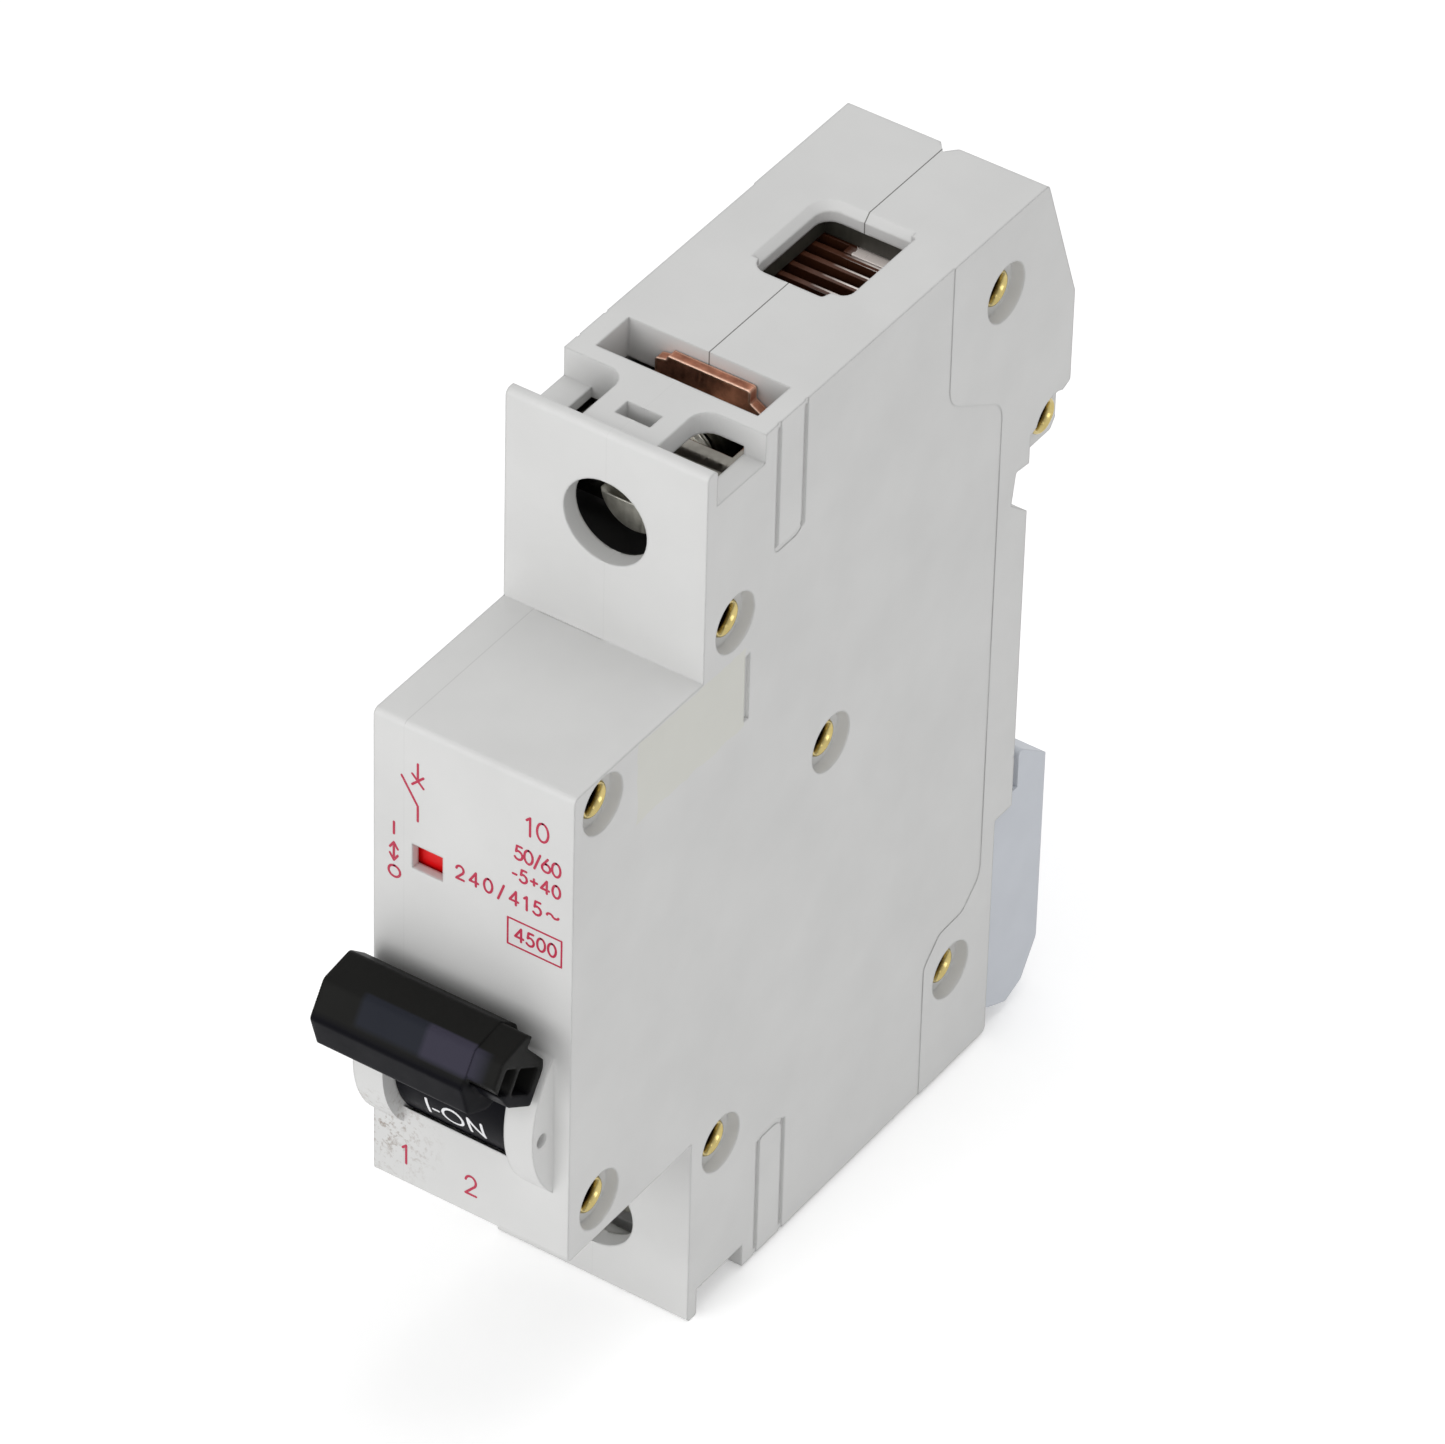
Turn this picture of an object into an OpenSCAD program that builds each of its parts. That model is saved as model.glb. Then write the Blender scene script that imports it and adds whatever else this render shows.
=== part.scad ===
// Single-pole miniature circuit breaker, 18 mm wide, for a 35 mm top-hat rail.
// Millimetres. X runs across the width, Y from the front (-) to the rail (+),
// Z upward along the wall. The origin is the middle of the seat on the rail.

/* [Case] */
// Width over the rear margins of the side faces
body_w = 18; // [17.8:0.1:18.4]
// Depth of the broad side faces below those margins
side_step = 0.08; // [0.06:0.02:0.2]
// Thickness of the case walls
wall = 1.6; // [1.4:0.1:1.8]
// Height of the nose that stands through the panel
nose_h = 45; // [44.4:0.2:45.6]
// Front of the nose ahead of the rail seat
nose_d = 60.2; // [59.6:0.2:61]
// Front of the terminal blocks ahead of the rail seat
term_d = 43.9; // [43.7:0.1:44.3]
// Top end above the rail's centre line
top_h = 40.9; // [40.7:0.1:42]
// Bottom end below the rail's centre line
bot_h = 40.5; // [40.3:0.1:42]
// Rounding of the long front edges
edge_r = 0.5; // [0.3:0.1:1]

/* [Rail fit] */
// Width of the top-hat rail over its flanges
rail_w = 35; // [34.7:0.1:35.3]
// Thickness of the rail's flanges
rail_t = 1; // [0.8:0.1:1.1]
// Overlap of the fixed hook over the upper flange
hook_grip = 2.6; // [2:0.1:3]
// Overlap of the sliding clip over the lower flange
clip_grip = 3.5; // [2.5:0.1:3.8]
// Rear face of the case behind the rail seat
rear_d = 5.4; // [5:0.1:6]

/* [Terminals] */
// Height of each clamp screw's axis from the rail's centre line
screw_z = 33.45; // [33.3:0.05:33.6]
// Radius of the driver hole in front of a clamp screw
access_r = 3.7; // [3.6:0.05:3.9]
// Radius of a clamp screw's head
screw_head_r = 3.2; // [2.9:0.1:3.3]
// Outer thread radius of a clamp screw
screw_r = 2.5; // [2.2:0.1:2.6]
// Pitch of the clamp screw's thread
screw_pitch = 0.8; // [0.7:0.05:0.9]
// Travel of the clamp from shut to open
clamp_travel = 2.8; // [2.4:0.1:2.8]
// Width of the conductor slot
slot_w = 14.3; // [13.5:0.1:14.4]
// Front and rear walls of the conductor slot ahead of the rail seat
slot_front = 35; // [34.8:0.1:35.2]
slot_rear = 30.8; // [30.6:0.1:30.9]
// Thickness of the copper terminal strips
strip_t = 0.9; // [0.7:0.05:1]

/* [Toggle] */
// Axis of the toggle behind the nose front
toggle_back = 7; // [6.8:0.1:7.2]
// Axis of the toggle below the rail's centre line
toggle_drop = 9.5; // [9:0.1:10]
// Radius of the toggle's drum
drum_r = 8.45; // [8.3:0.05:8.5]
// Gap between the drum and its opening
drum_gap = 0.25; // [0.2:0.05:0.3]
// Radius of the guard cheeks beside the drum
cheek_r = 9.7; // [9.5:0.1:9.9]
// Angle of the lever above level in the ON position
on_angle = 33; // [31:1:34]
// Reach of the lever from its axis
lever_reach = 16.75; // [16.2:0.05:17.5]
// Half the height of the grip
grip_h = 3.75; // [3.3:0.05:3.9]
// Radius of the steel pins that carry the toggle and the mechanism
pin_r = 1.25; // [1.1:0.05:1.3]
// Radial running clearance on every pin
run_gap = 0.05; // [0.03:0.01:0.08]

/* [Mechanism] */
// Axis of the contact carrier ahead of the rail seat
pivot_y = 24; // [23.8:0.1:24.2]
// Axis of the contact carrier below the rail's centre line
pivot_drop = 6; // [5.8:0.1:6.2]
// Crank radius of the link's pin on the toggle
crank_r = 4.5; // [4.3:0.1:4.6]
// Radius from the carrier's axis to the link's lower pin
carrier_arm = 11; // [10.8:0.1:11.2]
// Radius of the link's wire
link_wire = 0.6; // [0.5:0.05:0.65]
// Thickness of the bimetal strip
bimetal_t = 0.8; // [0.6:0.05:0.9]

/* [Solenoid] */
// Axis of the coil ahead of the rail seat
coil_y = 33.5; // [33.3:0.1:33.6]
// Radius of the coil's wire
coil_wire = 0.75; // [0.6:0.05:0.8]
// Turns in the coil
coil_turns = 6; // [4:1:6]
// Mean radius of the coil
coil_r = 3.95; // [3.9:0.05:4.1]
// Stroke of the plunger
stroke = 1.5; // [1.2:0.1:1.5]

/* [Arc chute] */
// Number of splitter plates
plate_n = 9; // [5:1:9]
// Spacing of the splitter plates
plate_pitch = 1.5; // [1.3:0.05:1.5]
// Thickness of a splitter plate
plate_t = 0.5; // [0.4:0.1:1]
// Width of the vent over the splitter plates
vent_w = 8.05; // [7:0.05:8.4]
// Length of the vent over the splitter plates
vent_l = 10.1; // [8:0.1:10.4]

/* [Hidden] */
$fn = 48;

half_w = body_w / 2;
face_x = half_w - side_step;
inner_x = half_w - wall;
nose_y = -nose_d;
nose_z = nose_h / 2;
term_y = -term_d;
front_in = nose_y + wall;
lip_in_y = term_y + 1.2;
flange_z = rail_w / 2;
hook_x = half_w - 1.2;
rear_in = -3.9;
// Fine groove that ends the seat face just above the nose of the rail clip
seat_end = -flange_z + clip_grip + 0.1;
seat_groove = 0.2;
clip_wall_y = -7;

// The eight rivets as (Y, Z), seven in full recesses and one in the rail hook
rivets = [[-4.5, top_h - 6.7], [rear_d - 2.2, 17.3], [-39.9, 25.7], [-26.4, 5.3],
  [nose_y + 3.6, nose_z - 2.7], [-8, -bot_h + 10.3], [-39.9, -25.2],
  [nose_y + 4, -nose_z + 3.5]];
rivet_r = 1.25;
recess_r = 2.52;
recess_d = 1.2;
post_r = 2.9;

// Terminal chamber
cham_front = term_y + wall;
cham_rear = -slot_rear + 1.4;
cham_lo = screw_z - 5.45;
cham_hi = screw_z + 3.85;
strip_y = -slot_rear - 0.1;
strip_x0 = -4.1;
strip_x1 = inner_x - 1.9;
cage_x = inner_x - 0.8;
cage_wall = 1.2;
nut_y0 = -38;
nut_y1 = -36;
cage_z = 3.6;
plate_th = 1;
plate_y1 = strip_y - strip_t - 0.2;
head_t = 2;
head_y1 = nut_y0 - 0.2;

// Main mechanism cavity
cav_z = cham_lo - 1.2;
chute_y0 = cham_rear + 1.2;

// Toggle
tog_y = nose_y + toggle_back;
tog_z = -toggle_drop;
drum_x0 = -inner_x + 1.4;
drum_x1 = inner_x - 2.7;
open_x0 = drum_x0 - 0.2;
open_x1 = drum_x1 + 0.15;
cheek_x1 = inner_x + 0.05;
open_r = drum_r + drum_gap;
crank_a = 15;
crank = [tog_y + crank_r * cos(crank_a), tog_z + crank_r * sin(crank_a)];

// Contact carrier, link and trip parts
piv = [-pivot_y, -pivot_drop];
knee = [piv.x, piv.y - carrier_arm];
latch_at = [piv.x + 2.6, piv.y - 5.2];
coil_at = -coil_y;
yoke_lo = 8.3;
coil_z0 = yoke_lo + 2.1;
coil_z1 = coil_z0 + 11.4;
yoke_t = 1.2;
bore_r = 2.2;
bimetal_z = -22.4;
bimetal_y = -34.1;

// Window for the flag, as X and Z limits
win_x = [open_x0 + 0.75, open_x0 + 3.5];
win_z = [9.1, 11.4];
flag_travel = 3.9;

// A closed outline [x, y, corner radius] turned into points, each corner an arc
function arc_corner(a, b, c, r, n) =
  r <= 0 ? [b] :
  let(u = (a - b) / norm(a - b), v = (c - b) / norm(c - b),
      h = acos(max(-1, min(1, u * v))) / 2,
      o = b + (u + v) / norm(u + v) * r / sin(h),
      p = b + u * r / tan(h), q = b + v * r / tan(h),
      t0 = atan2(p.y - o.y, p.x - o.x), t1 = atan2(q.y - o.y, q.x - o.x),
      d = ((t1 - t0 + 540) % 360) - 180)
  [for (i = [0:n]) o + r * [cos(t0 + d * i / n), sin(t0 + d * i / n)]];

function rounded(p, n = 5) =
  let(m = len(p))
  [for (i = [0:m - 1])
    let(a = p[(i + m - 1) % m], b = p[i], c = p[(i + 1) % m])
    each arc_corner([a.x, a.y], [b.x, b.y], [c.x, c.y], b.z, n)];

// Extrusions of an outline drawn in (Y, Z), (X, Z) or (X, Y)
module yz(x0, x1) {
  translate([x0, 0, 0]) rotate([90, 0, 90]) linear_extrude(x1 - x0) children();
}
module xz(y0, y1) {
  translate([0, y1, 0]) rotate([90, 0, 0]) linear_extrude(y1 - y0) children();
}
module xy(z0, z1) {
  translate([0, 0, z0]) linear_extrude(z1 - z0) children();
}
module box(a, b) {
  translate(a) cube(b - a);
}
// Round bars along each axis
module bar_x(y, z, r, x0, x1) {
  translate([x0, y, z]) rotate([0, 90, 0]) cylinder(r = r, h = x1 - x0);
}
module bar_y(x, z, r, y0, y1) {
  translate([x, y1, z]) rotate([90, 0, 0]) cylinder(r = r, h = y1 - y0);
}
module bar_z(x, y, r, z0, z1) {
  translate([x, y, z0]) cylinder(r = r, h = z1 - z0);
}
// Both ends of the case carry the same terminal
module lower_end() {
  mirror([0, 0, 1]) children();
}

// A round wire along a helix about Z, starting at z = 0
module helix(r, wire, pitch, turns, n = 14, m = 6) {
  last = n * turns;
  pts = [for (i = [0:last], j = [0:m - 1])
    let(t = 360 * i / n, b = 360 * j / m, w = r + wire * cos(b))
    [w * cos(t), w * sin(t), pitch * i / n + wire * sin(b)]];
  side = [for (i = [0:last - 1], j = [0:m - 1])
    let(k = (j + 1) % m)
    [i * m + j, i * m + k, (i + 1) * m + k, (i + 1) * m + j]];
  cap0 = [for (j = [m - 1:-1:0]) j];
  cap1 = [for (j = [0:m - 1]) last * m + j];
  polyhedron(pts, concat(side, [cap0, cap1]), convexity = 6);
}

// ---- Case ----------------------------------------------------------------

module case_side() {
  polygon(rounded([
    [nose_y, -nose_z, edge_r], [nose_y, nose_z, edge_r], [term_y, nose_z, 0],
    [term_y, top_h + 0.7, 0.5], [lip_in_y, top_h + 0.7, 0.4], [lip_in_y, top_h, 0],
    [0.9, top_h, 0.4], [rear_d, top_h - 12.5, 0.6], [rear_d, flange_z + 2.4, 0.3],
    [0, flange_z + 0.3, 0], [0, flange_z - 2.3, 0], [-1.8, flange_z - 2.1, 0.2],
    [-2.3, flange_z - 5, 0.2], [0, flange_z - 6.9, 0.2],
    [0, seat_end + seat_groove, 0], [-seat_groove, seat_end + seat_groove / 2, 0],
    [0, seat_end, 0], [0, -flange_z - 1.3, 0],
    [-2.4, -flange_z - 1.3, 0], [-2.4, -bot_h, 0.5], [lip_in_y, -bot_h, 0],
    [lip_in_y, -bot_h - 0.4, 0.3], [term_y, -bot_h - 0.4, 0.4],
    [term_y, -nose_z, 0]]));
}

// Fixed hook behind the rail's upper flange
module rail_hook() {
  y0 = rail_t + 0.2;
  yz(-hook_x, hook_x) polygon(rounded([
    [y0, flange_z + 3.5, 0], [y0, flange_z - hook_grip + 0.4, 0.3],
    [y0 + 0.6, flange_z - hook_grip, 0.3], [rear_d - 0.6, flange_z - hook_grip, 0.4],
    [rear_d, flange_z - hook_grip + 0.8, 0.3], [rear_d, flange_z + 3.5, 0]]));
  yz(-hook_x, hook_x) polygon([[0, flange_z + 0.3], [rear_d, flange_z + 0.3],
    [rear_d, flange_z + 3.5], [0, flange_z + 3.5]]);
}

// Guard cheeks that stand out of the nose on both sides of the drum
module cheeks() {
  for (x = [[-half_w + side_step, open_x0], [open_x1, cheek_x1]])
    intersection() {
      bar_x(tog_y, tog_z, cheek_r, x[0], x[1]);
      box([x[0], tog_y - 20, tog_z - 20], [x[1], front_in, tog_z + 20]);
    }
}

// The broad face inside the rear margins
module side_field() {
  polygon(rounded([
    [nose_y - 9, -bot_h - 9, 0], [nose_y - 9, top_h + 9, 0], [-11.8, top_h + 9, 0],
    [-11.8, 28, 2.5], [-4.2, 23.5, 2.5], [-4.2, -23, 2.5], [-6.6, -25.2, 1.2],
    [-9.8, -25.3, 1.2], [-11.9, -27.4, 1.2], [-11.9, -bot_h - 9, 0]]));
}

// Two grooves beside the interlock pad of a conductor slot, joined by a faint ring
module pad_grooves(h) {
  for (y = [-34.95, -31.5]) yz(face_x - 0.35, half_w)
    polygon(rounded([[y, h - 11.6, 0.2], [y + 0.5, h - 11.6, 0.2], [y + 0.5, h - 0.5, 0.2],
      [y, h - 0.5, 0.2]]));
  yz(face_x - 0.08, half_w) difference() {
    polygon(rounded([[-34.95, h - 12.1, 0.6], [-34.95, h + 2, 0], [-31, h + 2, 0],
      [-31, h - 12.1, 1.4]]));
    polygon(rounded([[-34.5, h - 11.7, 0.4], [-34.5, h + 3, 0], [-31.45, h + 3, 0],
      [-31.45, h - 11.7, 1.1]]));
  }
}

module side_cuts() {
  for (s = [0, 1]) mirror([s, 0, 0]) {
    yz(face_x, half_w + 1) side_field();
    pad_grooves(top_h);
    lower_end() pad_grooves(bot_h);
    for (p = rivets) bar_x(p.x, p.y, recess_r, half_w - recess_d, half_w + 1);
  }
  // Seat of the sticky label on the right
  yz(face_x - 0.3, half_w) polygon([[-38.4, 15.3], [-37.8, 15.3], [-37.8, 21.5],
    [-38.4, 21.5]]);
}

// Terminal chamber, conductor slot, driver hole and the pockets beside the lip
module terminal_cuts(h) {
  box([-inner_x, cham_front, cham_lo], [inner_x, cham_rear, cham_hi]);
  box([-slot_w / 2, -slot_front, cham_hi - 1], [slot_w / 2, -slot_rear, h + 3]);
  bar_y(0, screw_z, access_r, term_y - 1, cham_front + 0.5);
  box([strip_x0 - 0.1, strip_y - strip_t - 0.02, cham_lo - 2],
    [strip_x1 + 0.1, strip_y + 0.02, cham_lo + 1]);
  // The top wall is thin between the two pockets beside the lip
  box([-3.2, nut_y0 - 3.2, cham_hi - 1], [inner_x - 0.4, -slot_front + 0.1, h - 1.9]);
  pocket = [[3.3, lip_in_y, 0], [half_w + 1, lip_in_y, 0],
    [half_w + 1, -slot_front - 1.5, 0], [3.3, -slot_front - 1.5, 1.6]];
  for (s = [0, 1]) mirror([s, 0, 0]) xy(cham_hi + 1, h + 3) polygon(rounded(pocket));
  xy(cham_hi - 1, h) polygon(rounded([[3.3, nut_y0 - 3.5, 0.3],
    [inner_x - 0.4, nut_y0 - 3.5, 0.3], [inner_x - 0.4, -slot_front - 1.5, 0.6],
    [3.3, -slot_front - 1.5, 1.6]]));
  xy(cham_hi - 1, h) polygon(rounded([[-6.45, nut_y0 - 2, 0.3], [-3.95, nut_y0 - 2, 0.3],
    [-3.95, -slot_front - 1.5, 0.8], [-6.45, -slot_front - 1.5, 0]]));
  box([-1.5, nut_y0 - 2.7, cham_hi - 1], [1.6, nut_y0 - 1.1, h + 3]);
}

// Vent over the arc chute, chamfered along its left and rear edges
module vent_cuts() {
  x0 = -3.5;
  x1 = x0 + vent_w;
  y1 = -10.4;
  y0 = y1 - vent_l;
  c = 0.62;
  r = 1.4;
  e = 0.02;
  xy(top_h - wall - 1, top_h + 1) polygon(rounded([
    [x0, y0, r], [x1 - 1.6, y0, 0.3], [x1 - 1.3, y0 + 0.9, 0.3],
    [x1, y0 + 0.9, 1], [x1, y1, 0.2], [x0, y1, r]]));
  xz(y0 + 1.2, y1 - r) polygon([[x0 - c - e, top_h + e], [x0 + 0.3, top_h + e],
    [x0 + 0.3, top_h - c], [x0, top_h - c]]);
  yz(x0 + r, x1 - 0.4) polygon([[y1 + c + e, top_h + e], [y1 - 0.3, top_h + e],
    [y1 - 0.3, top_h - c], [y1, top_h - c]]);
  translate([x0 + r, y1 - r, top_h - c]) cylinder(r1 = r, r2 = r + c + e, h = c + e);
}

// The hollow inside, before the posts and ribs go back in
module hollow() {
  yz(-inner_x, inner_x) {
    polygon(rounded([[front_in, -nose_z + wall, 1], [front_in, nose_z - wall, 1],
      [term_y + wall + 1, nose_z - wall, 0], [term_y + wall + 1, -nose_z + wall, 0]]));
    polygon([[cham_front, -cav_z], [cham_front, cav_z], [rear_in, cav_z],
      [rear_in, -flange_z], [clip_wall_y, -flange_z - 1.5], [clip_wall_y, -cav_z]]);
    polygon([[chute_y0, cav_z - 1], [chute_y0, top_h - wall], [-1.8, top_h - wall],
      [-1.8, cav_z - 1]]);
    polygon([[chute_y0, -cav_z + 1], [chute_y0, -bot_h + wall],
      [clip_wall_y, -bot_h + wall], [clip_wall_y, -cav_z + 1]]);
  }
}

// Posts round the rivets and ribs that carry the works
module supports() {
  intersection() {
    union() {
      for (p = rivets) bar_x(p.x, p.y, post_r, -inner_x, inner_x);
      for (s = [0, 1]) mirror([s, 0, 0]) {
        box([5.1, -40.9, yoke_lo + 2], [inner_x, -39.7, coil_z1 + 0.8]);
        box([5.1, -34.4, bimetal_z - 4], [inner_x, -32.1, bimetal_z - bimetal_t - 1.1]);
        box([4.6, -6.2, -16], [inner_x, rear_in, -13.5]);
        box([4.6, -6.2, 19], [inner_x, rear_in, 21.5]);
        bar_x(piv.x, piv.y, 2.6, 5.75, inner_x);
        box([5.6, -21.8, 16.5], [inner_x, -9.4, 18.6]);
      }
    }
    hollow_block();
  }
}
module hollow_block() {
  yz(-inner_x - 0.01, inner_x + 0.01) case_side();
}

module case_solid() {
  difference() {
    union() {
      difference() {
        union() {
          yz(-half_w, half_w) case_side();
          rail_hook();
          cheeks();
        }
        hollow();
      }
      supports();
    }
    side_cuts();
    terminal_cuts(top_h);
    lower_end() terminal_cuts(bot_h);
    vent_cuts();
    // Opening of the drum, with head room for the lever's neck
    bar_x(tog_y, tog_z, open_r, open_x0, open_x1);
    box([open_x0, nose_y - 1, tog_z], [open_x1, tog_y - 4, tog_z + 5.9]);
    // Window of the flag and the thinned wall round it
    box([win_x[0], nose_y - 1, win_z[0]], [win_x[1], front_in + 1, win_z[1]]);
    box([win_x[0] - 1.6, nose_y + 0.8, win_z[0] - 2.2],
      [win_x[1] + 1.6, front_in + 0.1, win_z[1] + 1.6 + flag_travel]);
    // Small hole in the right cheek
    bar_x(nose_y - 1.5, tog_z - 0.4, 0.6, open_x1 - 1, half_w);
    // Rivet holes and the seats of the two long pins
    for (p = rivets) bar_x(p.x, p.y, rivet_r + run_gap, -half_w - 1, half_w + 1);
    bar_x(tog_y, tog_z, pin_r + 0.01, -inner_x - 0.8, inner_x + 0.8);
    bar_x(piv.x, piv.y, pin_r + 0.01, -inner_x - 0.8, inner_x + 0.8);
    // Notch on the seam at the rear of the top
    xy(top_h - 2.2, top_h + 1) polygon([[-1.25, 3], [-1.25, 1.5], [0.2, -0.2],
      [1.7, 1.5], [1.7, 3]]);
    // Guide pocket of the rail clip
    box([-3.3, -5.6, -bot_h + 3], [3.3, 0.1, -flange_z - 2.1]);
  }
}

// Everything on the right of the seam; in the nose the seam lies far left
module right_zone() {
  xy(-bot_h - 9, top_h + 9) polygon([
    [open_x0, nose_y - 20], [open_x0, term_y], [0, term_y], [0, rear_d + 9],
    [half_w + 9, rear_d + 9], [half_w + 9, nose_y - 20]]);
}

module right_case() {
  color([0.79, 0.79, 0.78]) intersection() {
    case_solid();
    right_zone();
  }
}

module left_case() {
  color([0.83, 0.83, 0.82]) difference() {
    case_solid();
    right_zone();
  }
}

// Brass tubular rivets with a rolled collar at each end
module case_rivets() {
  color([0.78, 0.63, 0.3]) for (p = rivets)
    translate([0, p.x, p.y]) rotate([0, 90, 0]) {
      seat = half_w - recess_d;
      difference() {
        union() {
          cylinder(r = rivet_r, h = 2 * seat, center = true);
          for (s = [0, 1]) mirror([0, 0, s]) translate([0, 0, seat])
            rotate_extrude() polygon(rounded([[0.5, -0.3, 0], [rivet_r, -0.3, 0],
              [rivet_r, 0, 0], [1.55, 0, 0.1], [1.55, 0.4, 0.15], [1.3, 0.45, 0.1],
              [1, -0.1, 0.3], [0.5, -0.3, 0]]));
        }
        cylinder(r = 0.98, h = body_w, center = true);
      }
    }
}

// ---- Rail clip -----------------------------------------------------------

module rail_clip() {
  y0 = -2.1;
  yn = rail_t + 0.2;
  color([0.7, 0.73, 0.76]) {
    yz(-half_w + 0.3, half_w - 0.3) polygon(rounded([
      [y0, -bot_h + 1.9, 1], [y0, -flange_z - 1.6, 0.2], [0.2, -flange_z - 1.6, 0],
      [0.2, -flange_z - 0.4, 0.2], [yn, -flange_z - 0.4, 0],
      [yn, -flange_z + clip_grip, 0.4], [rear_d - 0.2, -flange_z + 0.5, 0.3],
      [rear_d - 0.2, -bot_h + 4.5, 0.8], [rear_d - 2.2, -bot_h + 1.3, 0.8],
      [1, -bot_h + 0.5, 0.6]]));
    // Tongue in the guide pocket
    box([-3, -5.3, -30], [3, y0 + 0.5, -flange_z - 2.7]);
  }
}

module clip_spring() {
  z0 = -bot_h + 3.35;
  color([0.6, 0.6, 0.62]) translate([0, -3.9, z0])
    helix(1.1, 0.3, (-30 - z0 - 0.35) / 5, 5, 10, 6);
}

// ---- Toggle --------------------------------------------------------------

// Places an outline drawn along the lever, reach then height, at its ON angle
module along_lever() {
  translate([tog_y, tog_z]) rotate(180 - on_angle) mirror([0, 1]) children();
}

module grip_outline() {
  w = grip_h;
  polygon(rounded([[9.95, -0.95, 0], [10.4, -2.2, 0.5], [11.6, -w + 0.35, 0.8],
    [lever_reach - 2.5, -w, 0.7], [lever_reach, -1.6, 0.6],
    [lever_reach, 1.6, 0.6], [lever_reach - 2.5, w, 0.7],
    [11.6, w - 0.35, 0.8], [10.4, 2.2, 0.5], [9.95, 0.95, 0]]));
}

module toggle_handle() {
  x0 = -half_w;
  x1 = drum_x1 - 0.05;
  color([0.1, 0.1, 0.11]) difference() {
    union() {
      yz(x0, x1) along_lever() grip_outline();
      // Past the drum only the middle of the grip goes on, over the right cheek
      yz(x1, x1 + 2.5) along_lever() polygon(rounded([[10.1, -2.15, 0.2],
        [13.4, -2.15, 0.6], [lever_reach - 0.1, -0.6, 0.4],
        [lever_reach - 0.1, 1.5, 0.5], [14.3, grip_h - 0.1, 0.5],
        [13.6, grip_h - 0.2, 0.2], [13.7, 2.6, 0.3], [10.6, 1.6, 0.4],
        [10.15, 0.9, 0.3]]));
      // Neck between the drum and the grip
      yz(drum_x0, drum_x1) along_lever()
        polygon([[7, -0.9], [10.2, -0.95], [10.2, 0.95], [7, 0.9]]);
      // Drum sector that fills the opening over the whole swing
      intersection() {
        bar_x(tog_y, tog_z, drum_r, drum_x0, drum_x1);
        yz(drum_x0, drum_x1) translate([tog_y, tog_z])
          polygon([for (a = [0, 130, 110, 80, 50, 20, -10, -40, -60, -80])
            a == 0 ? [2.2, 1] : 12 * [cos(180 - a), sin(180 - a)]]);
      }
      bar_x(tog_y, tog_z, 3.2, drum_x0, drum_x1);
      // Crank ears for the link
      for (x = [[-3.4, -0.9], [0.9, 3.4]]) bar_x(crank.x, crank.y, 1.7, x[0], x[1]);
    }
    bar_x(tog_y, tog_z, pin_r + run_gap, drum_x0 - 1, drum_x1 + 1);
    bar_x(crank.x, crank.y, link_wire + run_gap, -4, 4);
    bar_x(crank.x, crank.y, 2, -0.9, 0.9);
    // Two pockets for a tie bar in the right end
    for (u = [[10.9, 13.7], [14.2, 15.8]])
      yz(1.2, 8) along_lever() polygon(rounded([[u[0], -1.2, 0.3], [u[1], -1.2, 0.3],
        [u[1], 1, 0.3], [u[0], 1, 0.3]]));
  }
}

module toggle_axle() {
  color([0.62, 0.62, 0.64]) bar_x(tog_y, tog_z, pin_r, -inner_x - 0.75, inner_x + 0.75);
}

// Torsion spring between the drum and the right wall
module toggle_spring() {
  color([0.55, 0.55, 0.57]) translate([drum_x1 + 0.55, tog_y, tog_z]) rotate([0, 90, 0])
    helix(2.3, 0.35, 0.8, 2, 14, 6);
}

// Wire link with a bent pin at each end
module toggle_link() {
  d = knee - crank;
  len_l = norm(d);
  color([0.6, 0.6, 0.62]) {
    difference() {
      translate([0, crank.x, crank.y]) rotate([atan2(d.y, d.x), 0, 0])
        bar_y(0, 0, link_wire, 0, len_l);
      for (p = [crank, knee]) bar_x(p.x, p.y, link_wire - 0.001, -0.9, 0.9);
    }
    bar_x(crank.x, crank.y, link_wire, -3.2, 3.2);
    bar_x(knee.x, knee.y, link_wire, -2.9, 3.3);
  }
}

// ---- Indicator -----------------------------------------------------------

flag_y = nose_y + 1.1;
flag_x = [win_x[0] - 0.9, win_x[1] + 0.9];

module indicator_flag() {
  color([0.8, 0.05, 0.08])
    box([flag_x[0], flag_y, win_z[0] - 1], [flag_x[1], flag_y + 0.5, win_z[1] + 1.2]);
}

// White slider behind the red flag; its lower part shows when the breaker is off
module flag_slider() {
  z0 = win_z[0] - 1.6 - flag_travel;
  color([0.85, 0.86, 0.84]) {
    box([flag_x[0], flag_y + 0.5, z0], [flag_x[1], flag_y + 1.6, win_z[1] + 1.2]);
    box([flag_x[0], front_in + 0.3, z0 - 3.2], [flag_x[1], front_in + 1.3, z0 + 2]);
  }
}

// ---- Contact mechanism ---------------------------------------------------

module mechanism_pin() {
  color([0.62, 0.62, 0.64]) bar_x(piv.x, piv.y, pin_r, -inner_x - 0.75, inner_x + 0.75);
}

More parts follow.
